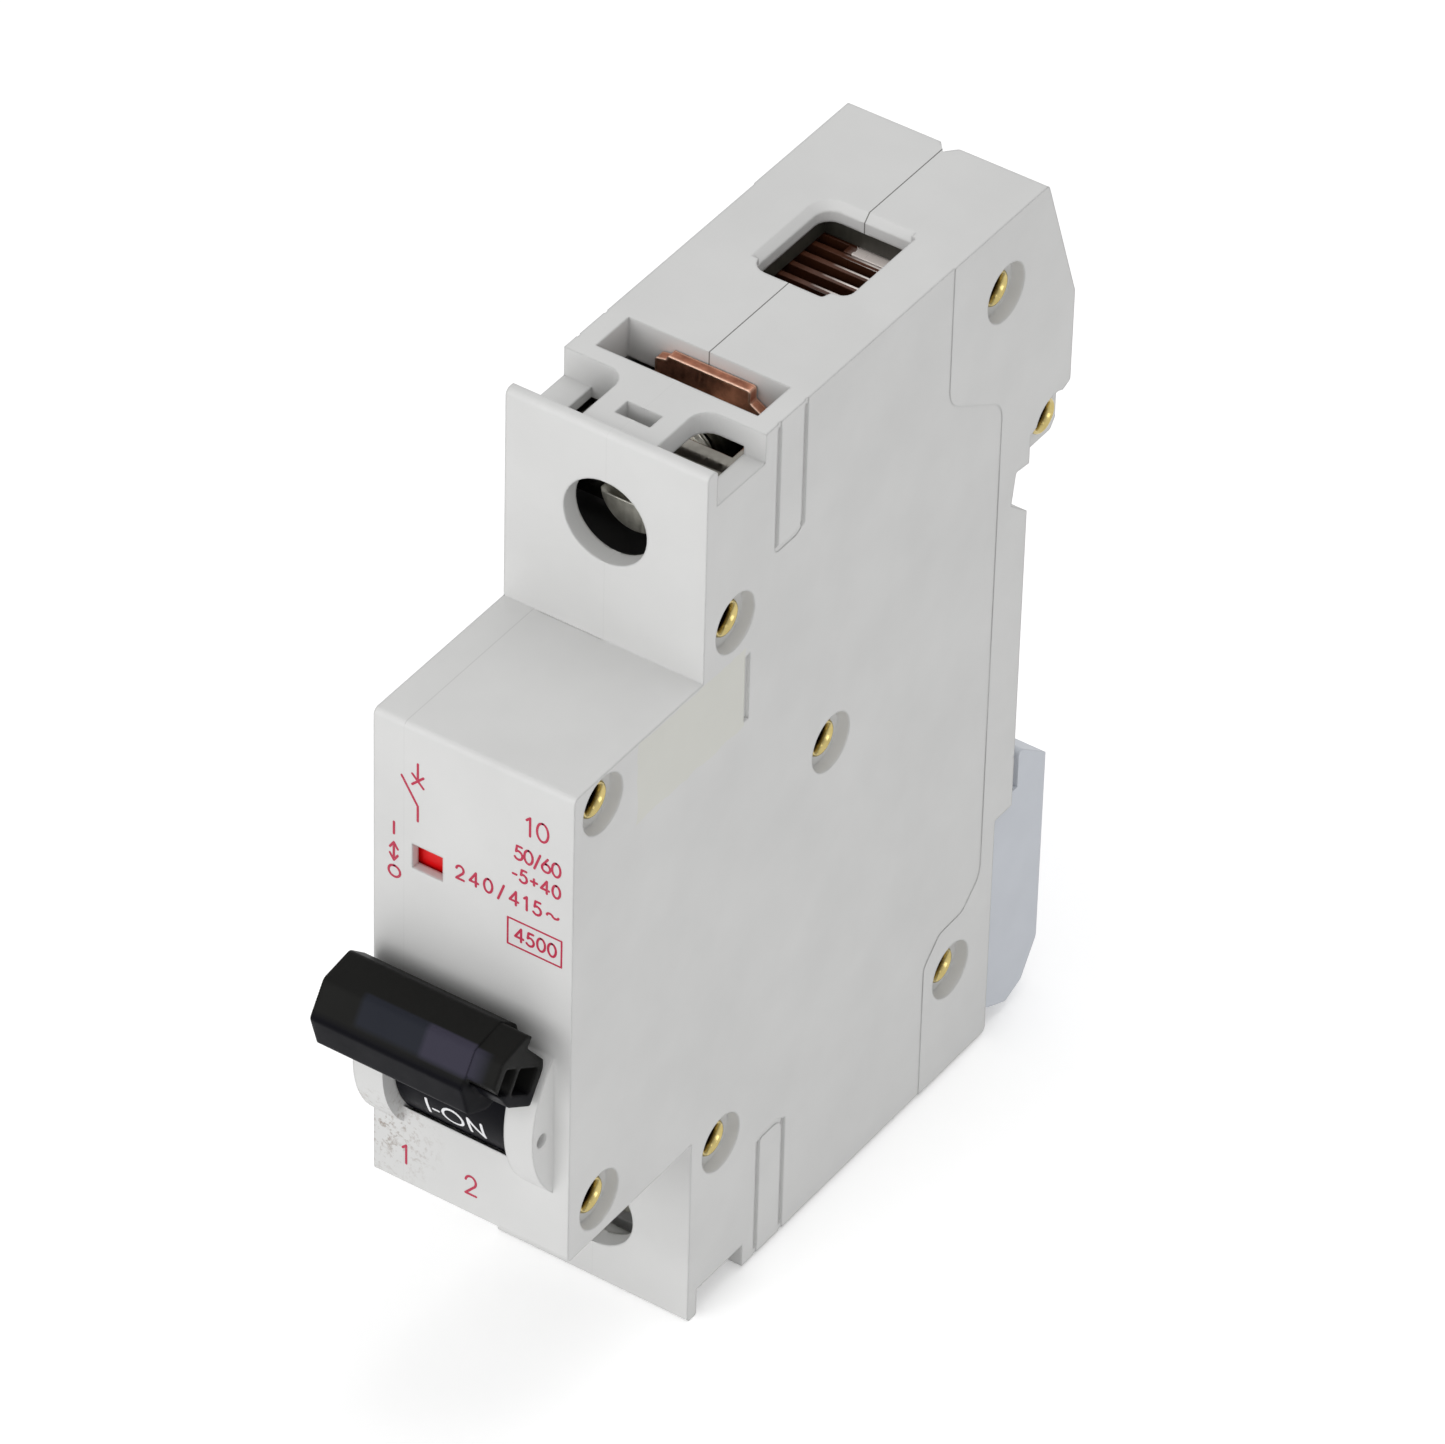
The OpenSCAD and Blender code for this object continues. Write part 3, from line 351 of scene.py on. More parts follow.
@dataclass(frozen=True)
class MouldedPlastic(Finish):
    """Moulded plastic with the skin of a spark-eroded mould.

    The eye gets a dull, even sheen, a faint grain, slow waves over thick and thin walls
    and a few paler or darker clouds of pigment. A real mould's grain is about 0.05 mm
    across, and it is drawn coarser so that it shows.
    """

    ior: float = 1.5
    specular: float = 0.5
    grain_mm: float = 0.22
    grain_height_mm: float = 0.004
    wave_mm: float = 14.0
    wave_height_mm: float = 0.03
    cloud: float = 0.03
    cloud_mm: float = 9.0
    gloss_mm: float = 2.5
    gloss_spread: float = 0.05

    def build(self) -> bpy.types.Material:
        """Makes the plain moulded skin.

        Returns:
            The material.
        """
        tree, shader, where = self.start()
        shader.inputs["IOR"].default_value = self.ior
        shader.inputs["Specular IOR Level"].default_value = self.specular
        clouds = add_node(tree, "TexNoise", None, {
            "Vector": where, "Scale": per_metre(self.cloud_mm), "Detail": 3.0})
        tint = add_node(tree, "MapRange", None, {
            "Value": clouds.outputs["Fac"], "From Min": 0.3, "From Max": 0.7,
            "To Min": 1.0 - self.cloud, "To Max": 1.0 + self.cloud})
        colour = add_node(tree, "VectorMath", {"operation": "SCALE"}, {
            0: linear(self.colour)[:3], "Scale": tint.outputs["Result"]})
        gloss = add_node(tree, "TexNoise", None, {
            "Vector": where, "Scale": per_metre(self.gloss_mm), "Detail": 4.0})
        rough = add_node(tree, "MapRange", None, {
            "Value": gloss.outputs["Fac"], "From Min": 0.3, "From Max": 0.7,
            "To Min": self.roughness - self.gloss_spread,
            "To Max": self.roughness + self.gloss_spread})
        waves = add_node(tree, "TexNoise", None, {
            "Vector": where, "Scale": per_metre(self.wave_mm), "Detail": 1.0})
        broad = add_node(tree, "Bump", None, {
            "Height": waves.outputs["Fac"], "Distance": self.wave_height_mm * MM,
            "Normal": self.edged(tree)})
        grain = add_node(tree, "TexNoise", None, {
            "Vector": where, "Scale": per_metre(self.grain_mm), "Detail": 2.0})
        fine = add_node(tree, "Bump", None, {
            "Height": grain.outputs["Fac"], "Distance": self.grain_height_mm * MM,
            "Normal": broad.outputs["Normal"]})
        tree.links.new(colour.outputs[0], shader.inputs["Base Color"])
        tree.links.new(rough.outputs["Result"], shader.inputs["Roughness"])
        tree.links.new(fine.outputs["Normal"], shader.inputs["Normal"])
        return bpy.data.materials[self.name]


@dataclass(frozen=True)
class CaseThermoset(MouldedPlastic):
    """Compression-moulded urea thermoset of the case halves.

    On top of the moulded skin the eye gets a hairline where the halves meet, dark at the
    two ends and hardly there at the front, brown finger dirt at the nose's lower left
    corner, the dull yellow trace of a sealing label on the right and painted shade, near
    black, in the chambers behind the two driver holes.
    """

    edge_fade_mm: float = 0.1
    seam_mm: float = 0.05
    seam: str = "#4C4B47"
    seam_front: float = 0.035
    seam_nose_top: float = 0.1
    seam_ends: float = 0.85
    nose_seam_x: float = -6.2 * MM
    nose_root_y: float = -43.9 * MM
    nose_top_z: float = 22.3 * MM
    slot_rear_y: float = -30.9 * MM
    end_z: float = 30.0 * MM
    chamber_x: float = 7.45 * MM
    chamber_y: float = -42.35 * MM
    chamber_z: Tuple[float, float] = (27.9 * MM, 37.4 * MM)
    # Near-black colour of the painted shade inside the two chambers.
    chamber_shade: str = "#1C1B1A"
    chamber_shade_share: float = 0.95
    chamber_shade_depth: float = 1.6 * MM
    dirt: str = "#7A6655"
    dirt_at: Tuple[float, float, float] = (-8.6 * MM, -61.0 * MM, -17.2 * MM)
    dirt_reach: Tuple[float, float] = (1.0 * MM, 6.5 * MM)
    dirt_grain_mm: float = 0.5
    dirt_share: float = 0.75
    label: str = "#CFCFC2"
    label_share: float = 0.5
    label_y: Tuple[float, float] = (-52.2 * MM, -38.4 * MM)
    label_z: Tuple[float, float] = (14.9 * MM, 22.3 * MM)
    label_x: float = 8.5 * MM
    tear_mm: float = 2.2
    tear: float = 0.9 * MM

    def from_seam(self, tree: bpy.types.NodeTree,
                  axes: bpy.types.Node) -> bpy.types.NodeSocket:
        """Distance from the seam's plane, at nose_seam_x in the nose and else at 0.

        Args:
            tree: Node tree of the material.
            axes: Node that separates the Object coordinates.

        Returns:
            The distance, in metres.
        """
        seam_x = add_node(tree, "Math", {"operation": "MULTIPLY"}, {
            0: inside(tree, [(axes.outputs["Y"], None, self.nose_root_y)]),
            1: self.nose_seam_x})
        away = add_node(tree, "Math", {"operation": "SUBTRACT"}, {
            0: axes.outputs["X"], 1: seam_x.outputs[0]})
        return add_node(tree, "Math", {"operation": "ABSOLUTE"}, {
            0: away.outputs[0]}).outputs[0]

    def edged(self, tree: bpy.types.NodeTree) -> bpy.types.NodeSocket:
        """Rounded edges, but a flat surface where the halves meet face to face.

        Args:
            tree: Node tree of the material.

        Returns:
            The normal.
        """
        rounded = super().edged(tree)
        where = add_node(tree, "TexCoord").outputs["Object"]
        axes = add_node(tree, "SeparateXYZ", None, {0: where})
        keep = add_node(tree, "MapRange", None, {
            "Value": self.from_seam(tree, axes), "From Min": self.edge_mm * MM,
            "From Max": (self.edge_mm + self.edge_fade_mm) * MM})
        flat = add_node(tree, "NewGeometry").outputs["True Normal"]
        mixed = add_node(tree, "Mix", {"data_type": "VECTOR"}, {
            0: keep.outputs[0], 4: flat, 5: rounded})
        return mixed.outputs[1]

    def seam_line(self, tree: bpy.types.NodeTree,
                  axes: bpy.types.Node) -> bpy.types.NodeSocket:
        """Hairline along the seam, which gapes at the two ends behind the slots.

        Args:
            tree: Node tree of the material.
            axes: Node that separates the Object coordinates.

        Returns:
            Share of the seam colour.
        """
        y, z = axes.outputs["Y"], axes.outputs["Z"]
        height = add_node(tree, "Math", {"operation": "ABSOLUTE"}, {0: z})
        gape = inside(tree, [(y, self.slot_rear_y, None),
                             (height.outputs[0], self.end_z, None)])
        depth = add_node(tree, "MapRange", None, {
            "Value": gape, "To Min": self.seam_front, "To Max": self.seam_ends})
        more = add_node(tree, "Math", {"operation": "MULTIPLY"}, {
            0: inside(tree, [(y, None, self.nose_root_y), (z, self.nose_top_z, None)]),
            1: self.seam_nose_top})
        dark = add_node(tree, "Math", {"operation": "ADD"}, {
            0: depth.outputs[0], 1: more.outputs[0]})
        line = inside(tree, [(self.from_seam(tree, axes), None, self.seam_mm * MM)])
        return add_node(tree, "Math", {"operation": "MULTIPLY"}, {
            0: line, 1: dark.outputs[0]}).outputs[0]

    def finger_dirt(self, tree: bpy.types.NodeTree,
                    where: bpy.types.NodeSocket) -> bpy.types.NodeSocket:
        """Grains of dirt about a corner: noise cut by the distance from it.

        Args:
            tree: Node tree of the material.
            where: Object coordinates.

        Returns:
            Share of the dirt.
        """
        corner = add_node(tree, "VectorMath", {"operation": "DISTANCE"}, {
            0: where, 1: self.dirt_at})
        near = add_node(tree, "MapRange", None, {
            "Value": corner.outputs["Value"], "From Min": self.dirt_reach[0],
            "From Max": self.dirt_reach[1], "To Min": 1.0, "To Max": 0.0})
        grains = add_node(tree, "TexNoise", None, {
            "Vector": where, "Scale": per_metre(self.dirt_grain_mm), "Detail": 4.0,
            "Roughness": 0.7})
        speck = add_node(tree, "MapRange", None, {
            "Value": grains.outputs["Fac"], "From Min": 0.52, "From Max": 0.66,
            "To Min": 0.0, "To Max": self.dirt_share})
        return add_node(tree, "Math", {"operation": "MULTIPLY"}, {
            0: near.outputs[0], 1: speck.outputs[0]}).outputs[0]

    def label_trace(self, tree: bpy.types.NodeTree, where: bpy.types.NodeSocket,
                    axes: bpy.types.Node) -> bpy.types.NodeSocket:
        """Patch on the right face with borders that noise makes ragged.

        Args:
            tree: Node tree of the material.
            where: Object coordinates.
            axes: Node that separates the Object coordinates.

        Returns:
            Share of the label's colour.
        """
        ragged = add_node(tree, "TexNoise", None, {
            "Vector": where, "Scale": per_metre(self.tear_mm), "Detail": 3.0})
        middle = add_node(tree, "Math", {"operation": "SUBTRACT"}, {
            0: ragged.outputs["Fac"], 1: 0.5})
        shift = add_node(tree, "Math", {"operation": "MULTIPLY"}, {
            0: middle.outputs[0], 1: self.tear})
        y, z = (add_node(tree, "Math", {"operation": "ADD"}, {
            0: axes.outputs[k], 1: shift.outputs[0]}).outputs[0] for k in "YZ")
        patch = inside(tree, [(y, *self.label_y), (z, *self.label_z),
                              (axes.outputs["X"], self.label_x, None)])
        return add_node(tree, "Math", {"operation": "MULTIPLY"}, {
            0: patch, 1: self.label_share}).outputs[0]

    def chamber_painted_shade(self, tree: bpy.types.NodeTree,
                     axes: bpy.types.Node) -> bpy.types.NodeSocket:
        """Painted shade in the two chambers, darker further in.

        Args:
            tree: Node tree of the material.
            axes: Node that separates the Object coordinates.

        Returns:
            Share of the dust.
        """
        x, y = axes.outputs["X"], axes.outputs["Y"]
        height = add_node(tree, "Math", {"operation": "ABSOLUTE"}, {
            0: axes.outputs["Z"]})
        chamber = inside(tree, [(height.outputs[0], *self.chamber_z),
                                (x, -self.chamber_x, self.chamber_x),
                                (y, None, self.slot_rear_y)])
        # Painted shade: the walls inside the chambers darken, more so further in from the front.
        further = add_node(tree, "MapRange", None, {
            "Value": y, "From Min": self.chamber_y, "From Max": self.chamber_y + self.chamber_shade_depth,
            "To Max": self.chamber_shade_share})
        return add_node(tree, "Math", {"operation": "MULTIPLY"}, {
            0: chamber, 1: further.outputs[0]}).outputs[0]

    def build(self) -> bpy.types.Material:
        """Makes the case skin with its seam, dirt, label trace and painted chamber shade.

        Returns:
            The material.
        """
        material = super().build()
        tree, shader, where, colour = self.reopened(material)
        axes = add_node(tree, "SeparateXYZ", None, {0: where})
        for share, hue in ((self.seam_line(tree, axes), self.seam),
                           (self.finger_dirt(tree, where), self.dirt),
                           (self.label_trace(tree, where, axes), self.label),
                           (self.chamber_painted_shade(tree, axes), self.chamber_shade)):
            colour = add_node(tree, "Mix", {"data_type": "RGBA"}, {
                0: share, 6: colour, 7: linear(hue)}).outputs[2]
        tree.links.new(colour, shader.inputs["Base Color"])
        return material


@dataclass(frozen=True)
class PaintedLightPlastic(MouldedPlastic):
    """Black polyamide of the lever, with painted light on it.

    On top of the moulded skin the lever's upper half is painted a little lighter, as painted
    light from above, and its outermost facet carries a paler, bluish painted reflection,
    stronger towards the right end.
    """

    axis_y: float = -53.2 * MM
    axis_z: float = -9.5 * MM
    lever_deg: float = 33.0
    reach: float = 16.3 * MM
    # Colours and X ranges of the painted reflection bands on the outer facet.
    painted_gleam: str = "#25272E"
    painted_gleam_x: Tuple[float, float] = (-5.6 * MM, 6.4 * MM)
    painted_reflection: str = "#383642"
    painted_reflection_x: Tuple[float, float] = (0.2 * MM, 6.2 * MM)
    fade_in: float = 0.5 * MM
    fade_out: float = 1.6 * MM
    # Lighter colour painted on the lever's upper half, as painted light.
    painted_top_light: str = "#1C1C1B"
    band_low: float = -0.9 * MM

    def build(self) -> bpy.types.Material:
        """Makes the skin with its painted top light and its painted facet reflection.

        The facet is where the distance out along the lever passes reach, and its band
        is where the distance across the lever passes band_low.

        Returns:
            The material.
        """
        material = super().build()
        tree, shader, where, colour = self.reopened(material)
        a = math.radians(self.lever_deg)
        out, across = (add_node(tree, "VectorMath", {"operation": "DOT_PRODUCT"}, {
            0: where, 1: way}).outputs["Value"]
            for way in ((0.0, -math.cos(a), math.sin(a)), (0.0, math.sin(a), math.cos(a))))
        far = self.reach - self.axis_y * math.cos(a) + self.axis_z * math.sin(a)
        low = self.band_low + self.axis_y * math.sin(a) + self.axis_z * math.cos(a)
        facet, band, above = (add_node(tree, "MapRange", None, {
            "Value": value, "From Min": start, "From Max": end}).outputs[0]
            for value, start, end in ((out, far, far + 0.15 * MM),
                                      (across, low, low + 0.5 * MM),
                                      (across, low - 0.5 * MM, low + 0.1 * MM)))
        # Painted light: the lever's upper half is drawn lighter, as if lit from above.
        colour = add_node(tree, "Mix", {"data_type": "RGBA"}, {
            0: above, 6: colour, 7: linear(self.painted_top_light)}).outputs[2]
        facet_band = add_node(tree, "Math", {"operation": "MULTIPLY"}, {0: facet, 1: band})
        x = add_node(tree, "SeparateXYZ", None, {0: where}).outputs["X"]
        # Painted reflection: a faint bluish band and a paler lilac band along the outer facet.
        for (start, end), hue in ((self.painted_gleam_x, self.painted_gleam),
                                  (self.painted_reflection_x, self.painted_reflection)):
            rise = add_node(tree, "MapRange", None, {
                "Value": x, "From Min": start, "From Max": start + self.fade_in})
            fall = add_node(tree, "MapRange", None, {
                "Value": x, "From Min": end - self.fade_out, "From Max": end,
                "To Min": 1.0, "To Max": 0.0})
            both = add_node(tree, "Math", {"operation": "MULTIPLY"}, {
                0: rise.outputs[0], 1: fall.outputs[0]})
            share = add_node(tree, "Math", {"operation": "MULTIPLY"}, {
                0: both.outputs[0], 1: facet_band.outputs[0]})
            colour = add_node(tree, "Mix", {"data_type": "RGBA"}, {
                0: share.outputs[0], 6: colour, 7: linear(hue)}).outputs[2]
        tree.links.new(colour, shader.inputs["Base Color"])
        return material


@dataclass(frozen=True)
class PlainMetal(Finish):
    """Rolled, drawn or plated metal with fine marks from its making.

    The eye gets streaks along one axis, small changes of gloss, a darker film where
    fingers and air have reached it, and along abraded or sheared edges a bright colour that
    is partly the metal laid open there and partly a painted edge highlight.
    Real streaks are a few hundredths of a millimetre wide, and they are drawn coarser.
    """

    film: str = "#3A3028"
    film_share: float = 0.25
    streak_mm: Tuple[float, float, float] = (0.15, 3.0, 3.0)
    streak_height_mm: float = 0.002
    film_mm: float = 2.5
    # Edge colour: the metal laid open there, and a painted edge highlight.
    bare_and_highlight: Optional[str] = None
    bare_and_highlight_mm: float = 0.25
    gloss_spread: float = 0.08

    def build(self) -> bpy.types.Material:
        """Makes the metal.

        Returns:
            The material.
        """
        tree, shader, where = self.start()
        shader.inputs["Metallic"].default_value = 1.0
        scale = tuple(per_metre(s) for s in self.streak_mm)
        along = add_node(tree, "Mapping", None, {"Vector": where, "Scale": scale})
        streak = add_node(tree, "TexNoise", None, {
            "Vector": along.outputs[0], "Scale": 1.0, "Detail": 3.0})
        patches = add_node(tree, "TexNoise", None, {
            "Vector": where, "Scale": per_metre(self.film_mm), "Detail": 5.0,
            "Roughness": 0.6})
        cover = add_node(tree, "MapRange", None, {
            "Value": patches.outputs["Fac"], "From Min": 0.42, "From Max": 0.72,
            "To Min": 0.0, "To Max": self.film_share * 2.0})
        colour = add_node(tree, "Mix", {"data_type": "RGBA"}, {
            0: cover.outputs["Result"], 6: linear(self.colour), 7: linear(self.film)})
        if self.bare_and_highlight:
            # Painted edge highlight, partly the metal laid open there: near an edge the rounded
            # normal leans away from the face's own, and there the colour turns bright.
            bevel = add_node(tree, "Bevel", {"samples": 6}, {"Radius": self.bare_and_highlight_mm * MM})
            face = add_node(tree, "NewGeometry").outputs["True Normal"]
            lean = add_node(tree, "VectorMath", {"operation": "DOT_PRODUCT"}, {
                0: bevel.outputs[0], 1: face})
            edge = add_node(tree, "MapRange", None, {
                "Value": lean.outputs["Value"], "From Min": 0.995, "From Max": 0.93,
                "To Min": 0.0, "To Max": 1.0})
            colour = add_node(tree, "Mix", {"data_type": "RGBA"}, {
                0: edge.outputs[0], 6: colour.outputs[2], 7: linear(self.bare_and_highlight)})
        rough = add_node(tree, "MapRange", None, {
            "Value": streak.outputs["Fac"], "From Min": 0.3, "From Max": 0.7,
            "To Min": max(0.05, self.roughness - self.gloss_spread),
            "To Max": self.roughness + self.gloss_spread})
        bump = add_node(tree, "Bump", None, {
            "Height": streak.outputs["Fac"], "Distance": self.streak_height_mm * MM,
            "Normal": self.edged(tree)})
        tree.links.new(colour.outputs[2], shader.inputs["Base Color"])
        tree.links.new(rough.outputs["Result"], shader.inputs["Roughness"])
        tree.links.new(bump.outputs["Normal"], shader.inputs["Normal"])
        return bpy.data.materials[self.name]


@dataclass(frozen=True)
class RolledBrass(PlainMetal):
    """Brass tube rolled over at its ends: olive gold, darkened to dark brown towards the bore as
    painted shade.
    """

    # Dark brown of the painted shade in the bore.
    bore: str = "#35200C"
    lip: float = 8.02 * MM
    deep: float = 7.5 * MM

    def build(self) -> bpy.types.Material:
        """Makes the brass with painted shade towards its bore.

        Returns:
            The material.
        """
        material = super().build()
        tree, shader, where, bright = self.reopened(material)
        x = add_node(tree, "SeparateXYZ", None, {0: where}).outputs["X"]
        out = add_node(tree, "Math", {"operation": "ABSOLUTE"}, {0: x})
        # Painted shade: the gold darkens to dark brown deeper into the bore.
        depth = add_node(tree, "MapRange", None, {
            "Value": out.outputs[0], "From Min": self.lip, "From Max": self.deep})
        colour = add_node(tree, "Mix", {"data_type": "RGBA"}, {
            0: depth.outputs[0], 6: bright, 7: linear(self.bore)})
        tree.links.new(colour.outputs[2], shader.inputs["Base Color"])
        return material


@dataclass(frozen=True)
class SplitterSteel(PlainMetal):
    """Copper-flashed steel of the arc plates, browned by the arcs.

    The eye gets dull brown faces, top edges painted bright towards the right, partly as
    steel laid open and partly as painted highlight, and on the rearmost plate's bent top a
    painted reflection: a pale pinkish patch with a ragged left border.
    """

    # Pale pinkish colour of the painted reflection on the rearmost plate's bent top.
    patch: str = "#F6ECE6"
    bare_share: float = 0.3
    patch_y: float = -11.4 * MM
    patch_z: float = 37.25 * MM
    top_z: float = 37.63 * MM
    first_y: float = -22.45 * MM
    pitch: float = 1.5 * MM
    bare_gleam_from: float = 0.3 * MM
    ragged: float = 1.2 * MM
    ragged_mm: float = 0.8
    painted_gleam_x: Tuple[float, float] = (-0.4 * MM, 2.2 * MM)

    def build(self) -> bpy.types.Material:
        """Makes the plates' steel with its bright edges, partly painted highlight, and its
        painted reflection patch.

        Returns:
            The material.
        """
        material = super().build()
        tree, shader, where, brown = self.reopened(material)
        axes = add_node(tree, "SeparateXYZ", None, {0: where})
        x, y, z = (axes.outputs[k] for k in "XYZ")
        noise = add_node(tree, "TexNoise", None, {
            "Vector": where, "Scale": per_metre(self.ragged_mm), "Detail": 3.0})
        stray = add_node(tree, "Math", {"operation": "MULTIPLY"}, {
            0: noise.outputs["Fac"], 1: self.ragged})
        border = add_node(tree, "Math", {"operation": "ADD"}, {
            0: x, 1: stray.outputs[0]}).outputs[0]
        # Painted highlight: the plates' top edges brighten towards the right.
        painted_gleam = add_node(tree, "MapRange", None, {
            "Value": border, "From Min": self.painted_gleam_x[0], "From Max": self.painted_gleam_x[1]})
        # Only the rear part of each plate's thickness is painted pale, partly as steel laid open
        # there and partly as painted highlight. Ten pitches keep the distance positive in front
        # of the first plate.
        along = add_node(tree, "Math", {"operation": "SUBTRACT"}, {
            0: y, 1: self.first_y - 10.0 * self.pitch})
        beside = add_node(tree, "Math", {"operation": "MODULO"}, {
            0: along.outputs[0], 1: self.pitch})
        edge = add_node(tree, "Math", {"operation": "MULTIPLY"}, {
            0: inside(tree, [(z, self.top_z, None), (beside.outputs[0], self.bare_gleam_from, None)]),
            1: painted_gleam.outputs[0]})
        # Painted reflection: a pale patch on the rearmost plate's bent top, with a ragged left
        # border.
        bent = inside(tree, [(y, self.patch_y, None), (z, self.patch_z, None),
                             (border, 0.0, None)])
        pale = add_node(tree, "Math", {"operation": "MAXIMUM"}, {
            0: edge.outputs[0], 1: bent})
        colour = add_node(tree, "Mix", {"data_type": "RGBA"}, {
            0: pale.outputs[0], 6: brown, 7: linear(self.patch)})
        tree.links.new(colour.outputs[2], shader.inputs["Base Color"])
        shader.inputs["Metallic"].default_value = self.bare_share
        return material


@dataclass(frozen=True)
class PadInk(Finish):
    """Pad-printed ink: a thin, even, slightly glossy film with tiny pinholes."""

    pinhole: str = "#C9A0A8"
    hole_mm: float = 0.12

    def build(self) -> bpy.types.Material:
        """Makes the ink.

        Returns:
            The material.
        """
        tree, shader, where = self.start()
        holes = add_node(tree, "TexNoise", None, {
            "Vector": where, "Scale": per_metre(self.hole_mm), "Detail": 2.0})
        share = add_node(tree, "MapRange", None, {
            "Value": holes.outputs["Fac"], "From Min": 0.62, "From Max": 0.75,
            "To Min": 0.0, "To Max": 0.6})
        colour = add_node(tree, "Mix", {"data_type": "RGBA"}, {
            0: share.outputs["Result"], 6: linear(self.colour), 7: linear(self.pinhole)})
        tree.links.new(colour.outputs[2], shader.inputs["Base Color"])
        return bpy.data.materials[self.name]


@dataclass(frozen=True)
class FibreBoard(Finish):
    """Pressed vulcanised fibre: a dull grey sheet with short darker fibres."""

    fibre: str = "#25241F"
    fibre_mm: Tuple[float, float, float] = (0.3, 0.25, 2.0)
    fibre_height: float = 0.01 * MM

    def build(self) -> bpy.types.Material:
        """Makes the board.

        Returns:
            The material.
        """
        tree, shader, where = self.start()
        along = add_node(tree, "Mapping", None, {
            "Vector": where, "Scale": tuple(per_metre(m) for m in self.fibre_mm)})
        fibres = add_node(tree, "TexNoise", None, {
            "Vector": along.outputs[0], "Scale": 1.0, "Detail": 4.0})
        colour = add_node(tree, "Mix", {"data_type": "RGBA"}, {
            0: fibres.outputs["Fac"], 6: linear(self.colour), 7: linear(self.fibre)})
        bump = add_node(tree, "Bump", None, {
            "Height": fibres.outputs["Fac"], "Distance": self.fibre_height,
            "Normal": self.edged(tree)})
        tree.links.new(colour.outputs[2], shader.inputs["Base Color"])
        tree.links.new(bump.outputs["Normal"], shader.inputs["Normal"])
        return bpy.data.materials[self.name]


class Stock(Enum):
    """The finishes that the pieces are made in."""

    CASE = CaseThermoset("case_urea_moulding", "#CFCFCE", 0.5, edge_mm=0.3)
    CLIP = MouldedPlastic("clip_polyamide", "#C4C8CF", 0.48)
    TOGGLE = PaintedLightPlastic("toggle_black_polyamide", "#0D0D12", 0.4, edge_mm=0.45,
                            specular=0.03, cloud=0.1, wave_height_mm=0.02,
                            grain_height_mm=0.002)
    FLAG = MouldedPlastic("flag_red_acetal", "#E00A10", 0.35)
    SLIDER = MouldedPlastic("slider_white_acetal", "#E4E4DF", 0.4)
    LEVER = MouldedPlastic("lever_cream_polyester", "#D9D2BC", 0.45)
    BOBBIN = MouldedPlastic("bobbin_glass_polyamide", "#DAD6C6", 0.5)
    BRASS = RolledBrass("rivet_rolled_brass", "#C6B478", 0.2, film="#8A7A44",
                        film_share=0.1, streak_mm=(2.0, 0.3, 0.3), film_mm=0.8)
    BRASS_SCREW = PlainMetal("turned_brass_screw", "#C6B478", 0.25, film="#8A7A44")
    PIN = PlainMetal("ground_steel_pin", "#B4B4B6", 0.25, film="#5C5A58",
                     film_share=0.1, streak_mm=(0.08, 2.0, 2.0))
    SPRING = PlainMetal("drawn_spring_wire", "#8E8E92", 0.3, film="#4A4644",
                        film_share=0.15, streak_mm=(1.0, 1.0, 1.0))
    CARRIER = PlainMetal("case_hardened_steel", "#6E6A66", 0.38, film="#3A3634",
                         film_share=0.3)
    COPPER = PlainMetal("sheared_copper_strip", "#D6967A", 0.36, film="#6A3C2C",
                        film_share=0.35, streak_mm=(0.25, 2.0, 1.4),
                        streak_height_mm=0.012, film_mm=1.6, bare_and_highlight="#FFD8C0",
                        bare_and_highlight_mm=0.35)
    SILVER = PlainMetal("silver_contact", "#D6D4D0", 0.3, film="#77726A",
                        film_share=0.2)
    ENAMEL = PlainMetal("enamelled_copper_wire", "#A8562C", 0.24, film="#6E2E16",
                        film_share=0.2, streak_mm=(1.0, 1.0, 1.0))
    ZINC = PlainMetal("zinc_plated_steel", "#A9ACAE", 0.33, film="#6C6E70",
                      film_share=0.25)
    SPLITTER = SplitterSteel("copper_flashed_steel", "#55301F", 0.35, film="#22140E",
                             film_share=0.3, film_mm=3.5)
    CAGE = PlainMetal("bright_zinc_plated_steel", "#8E8B84", 0.12, film="#3A3730",
                      film_share=0.2)
    SCREW = PlainMetal("yellow_passivated_steel", "#C6C4BA", 0.42, film="#4A4842",
                       film_share=0.2)
    BIMETAL = PlainMetal("rolled_bimetal", "#B3A58E", 0.3, film="#6E6250",
                         film_share=0.2, streak_mm=(3.0, 0.2, 0.2))
    FIBRE = FibreBoard("vulcanised_fibre", "#3C3B34", 0.5)
    CRIMSON_INK = PadInk("crimson_pad_ink", "#B0123E", 0.42)
    WHITE_INK = PadInk("white_pad_ink", "#E6E6E8", 0.42, pinhole="#8A8A90")

    def material(self) -> bpy.types.Material:
        """The finish's material, built the first time that it is asked for."""
        found = bpy.data.materials.get(self.value.name)
        return found if found else self.value.build()


# ---- Stroke lettering ------------------------------------------------------------


@dataclass(frozen=True)
class Line:
    """Straight pen stroke from (x0, y0) to (x1, y1) in letter heights."""

    x0: float
    y0: float
    x1: float
    y1: float

    def points(self) -> Array:
        """Twelve points along the stroke."""
        t = np.linspace(0.0, 1.0, 12)[:, None]
        return np.array([self.x0, self.y0]) * (1 - t) + np.array([self.x1, self.y1]) * t


@dataclass(frozen=True)
class Arc:
    """Elliptic pen stroke: (cx + rx cos a, cy + ry sin a) from a0 to a1 degrees."""

    cx: float
    cy: float
    rx: float
    ry: float
    a0: float
    a1: float

    def points(self) -> Array:
        """Points every ten degrees or closer."""
        count = max(8, int(abs(self.a1 - self.a0) / 8) + 1)
        a = np.radians(np.linspace(self.a0, self.a1, count))
        return np.stack([self.cx + self.rx * np.cos(a), self.cy + self.ry * np.sin(a)], -1)


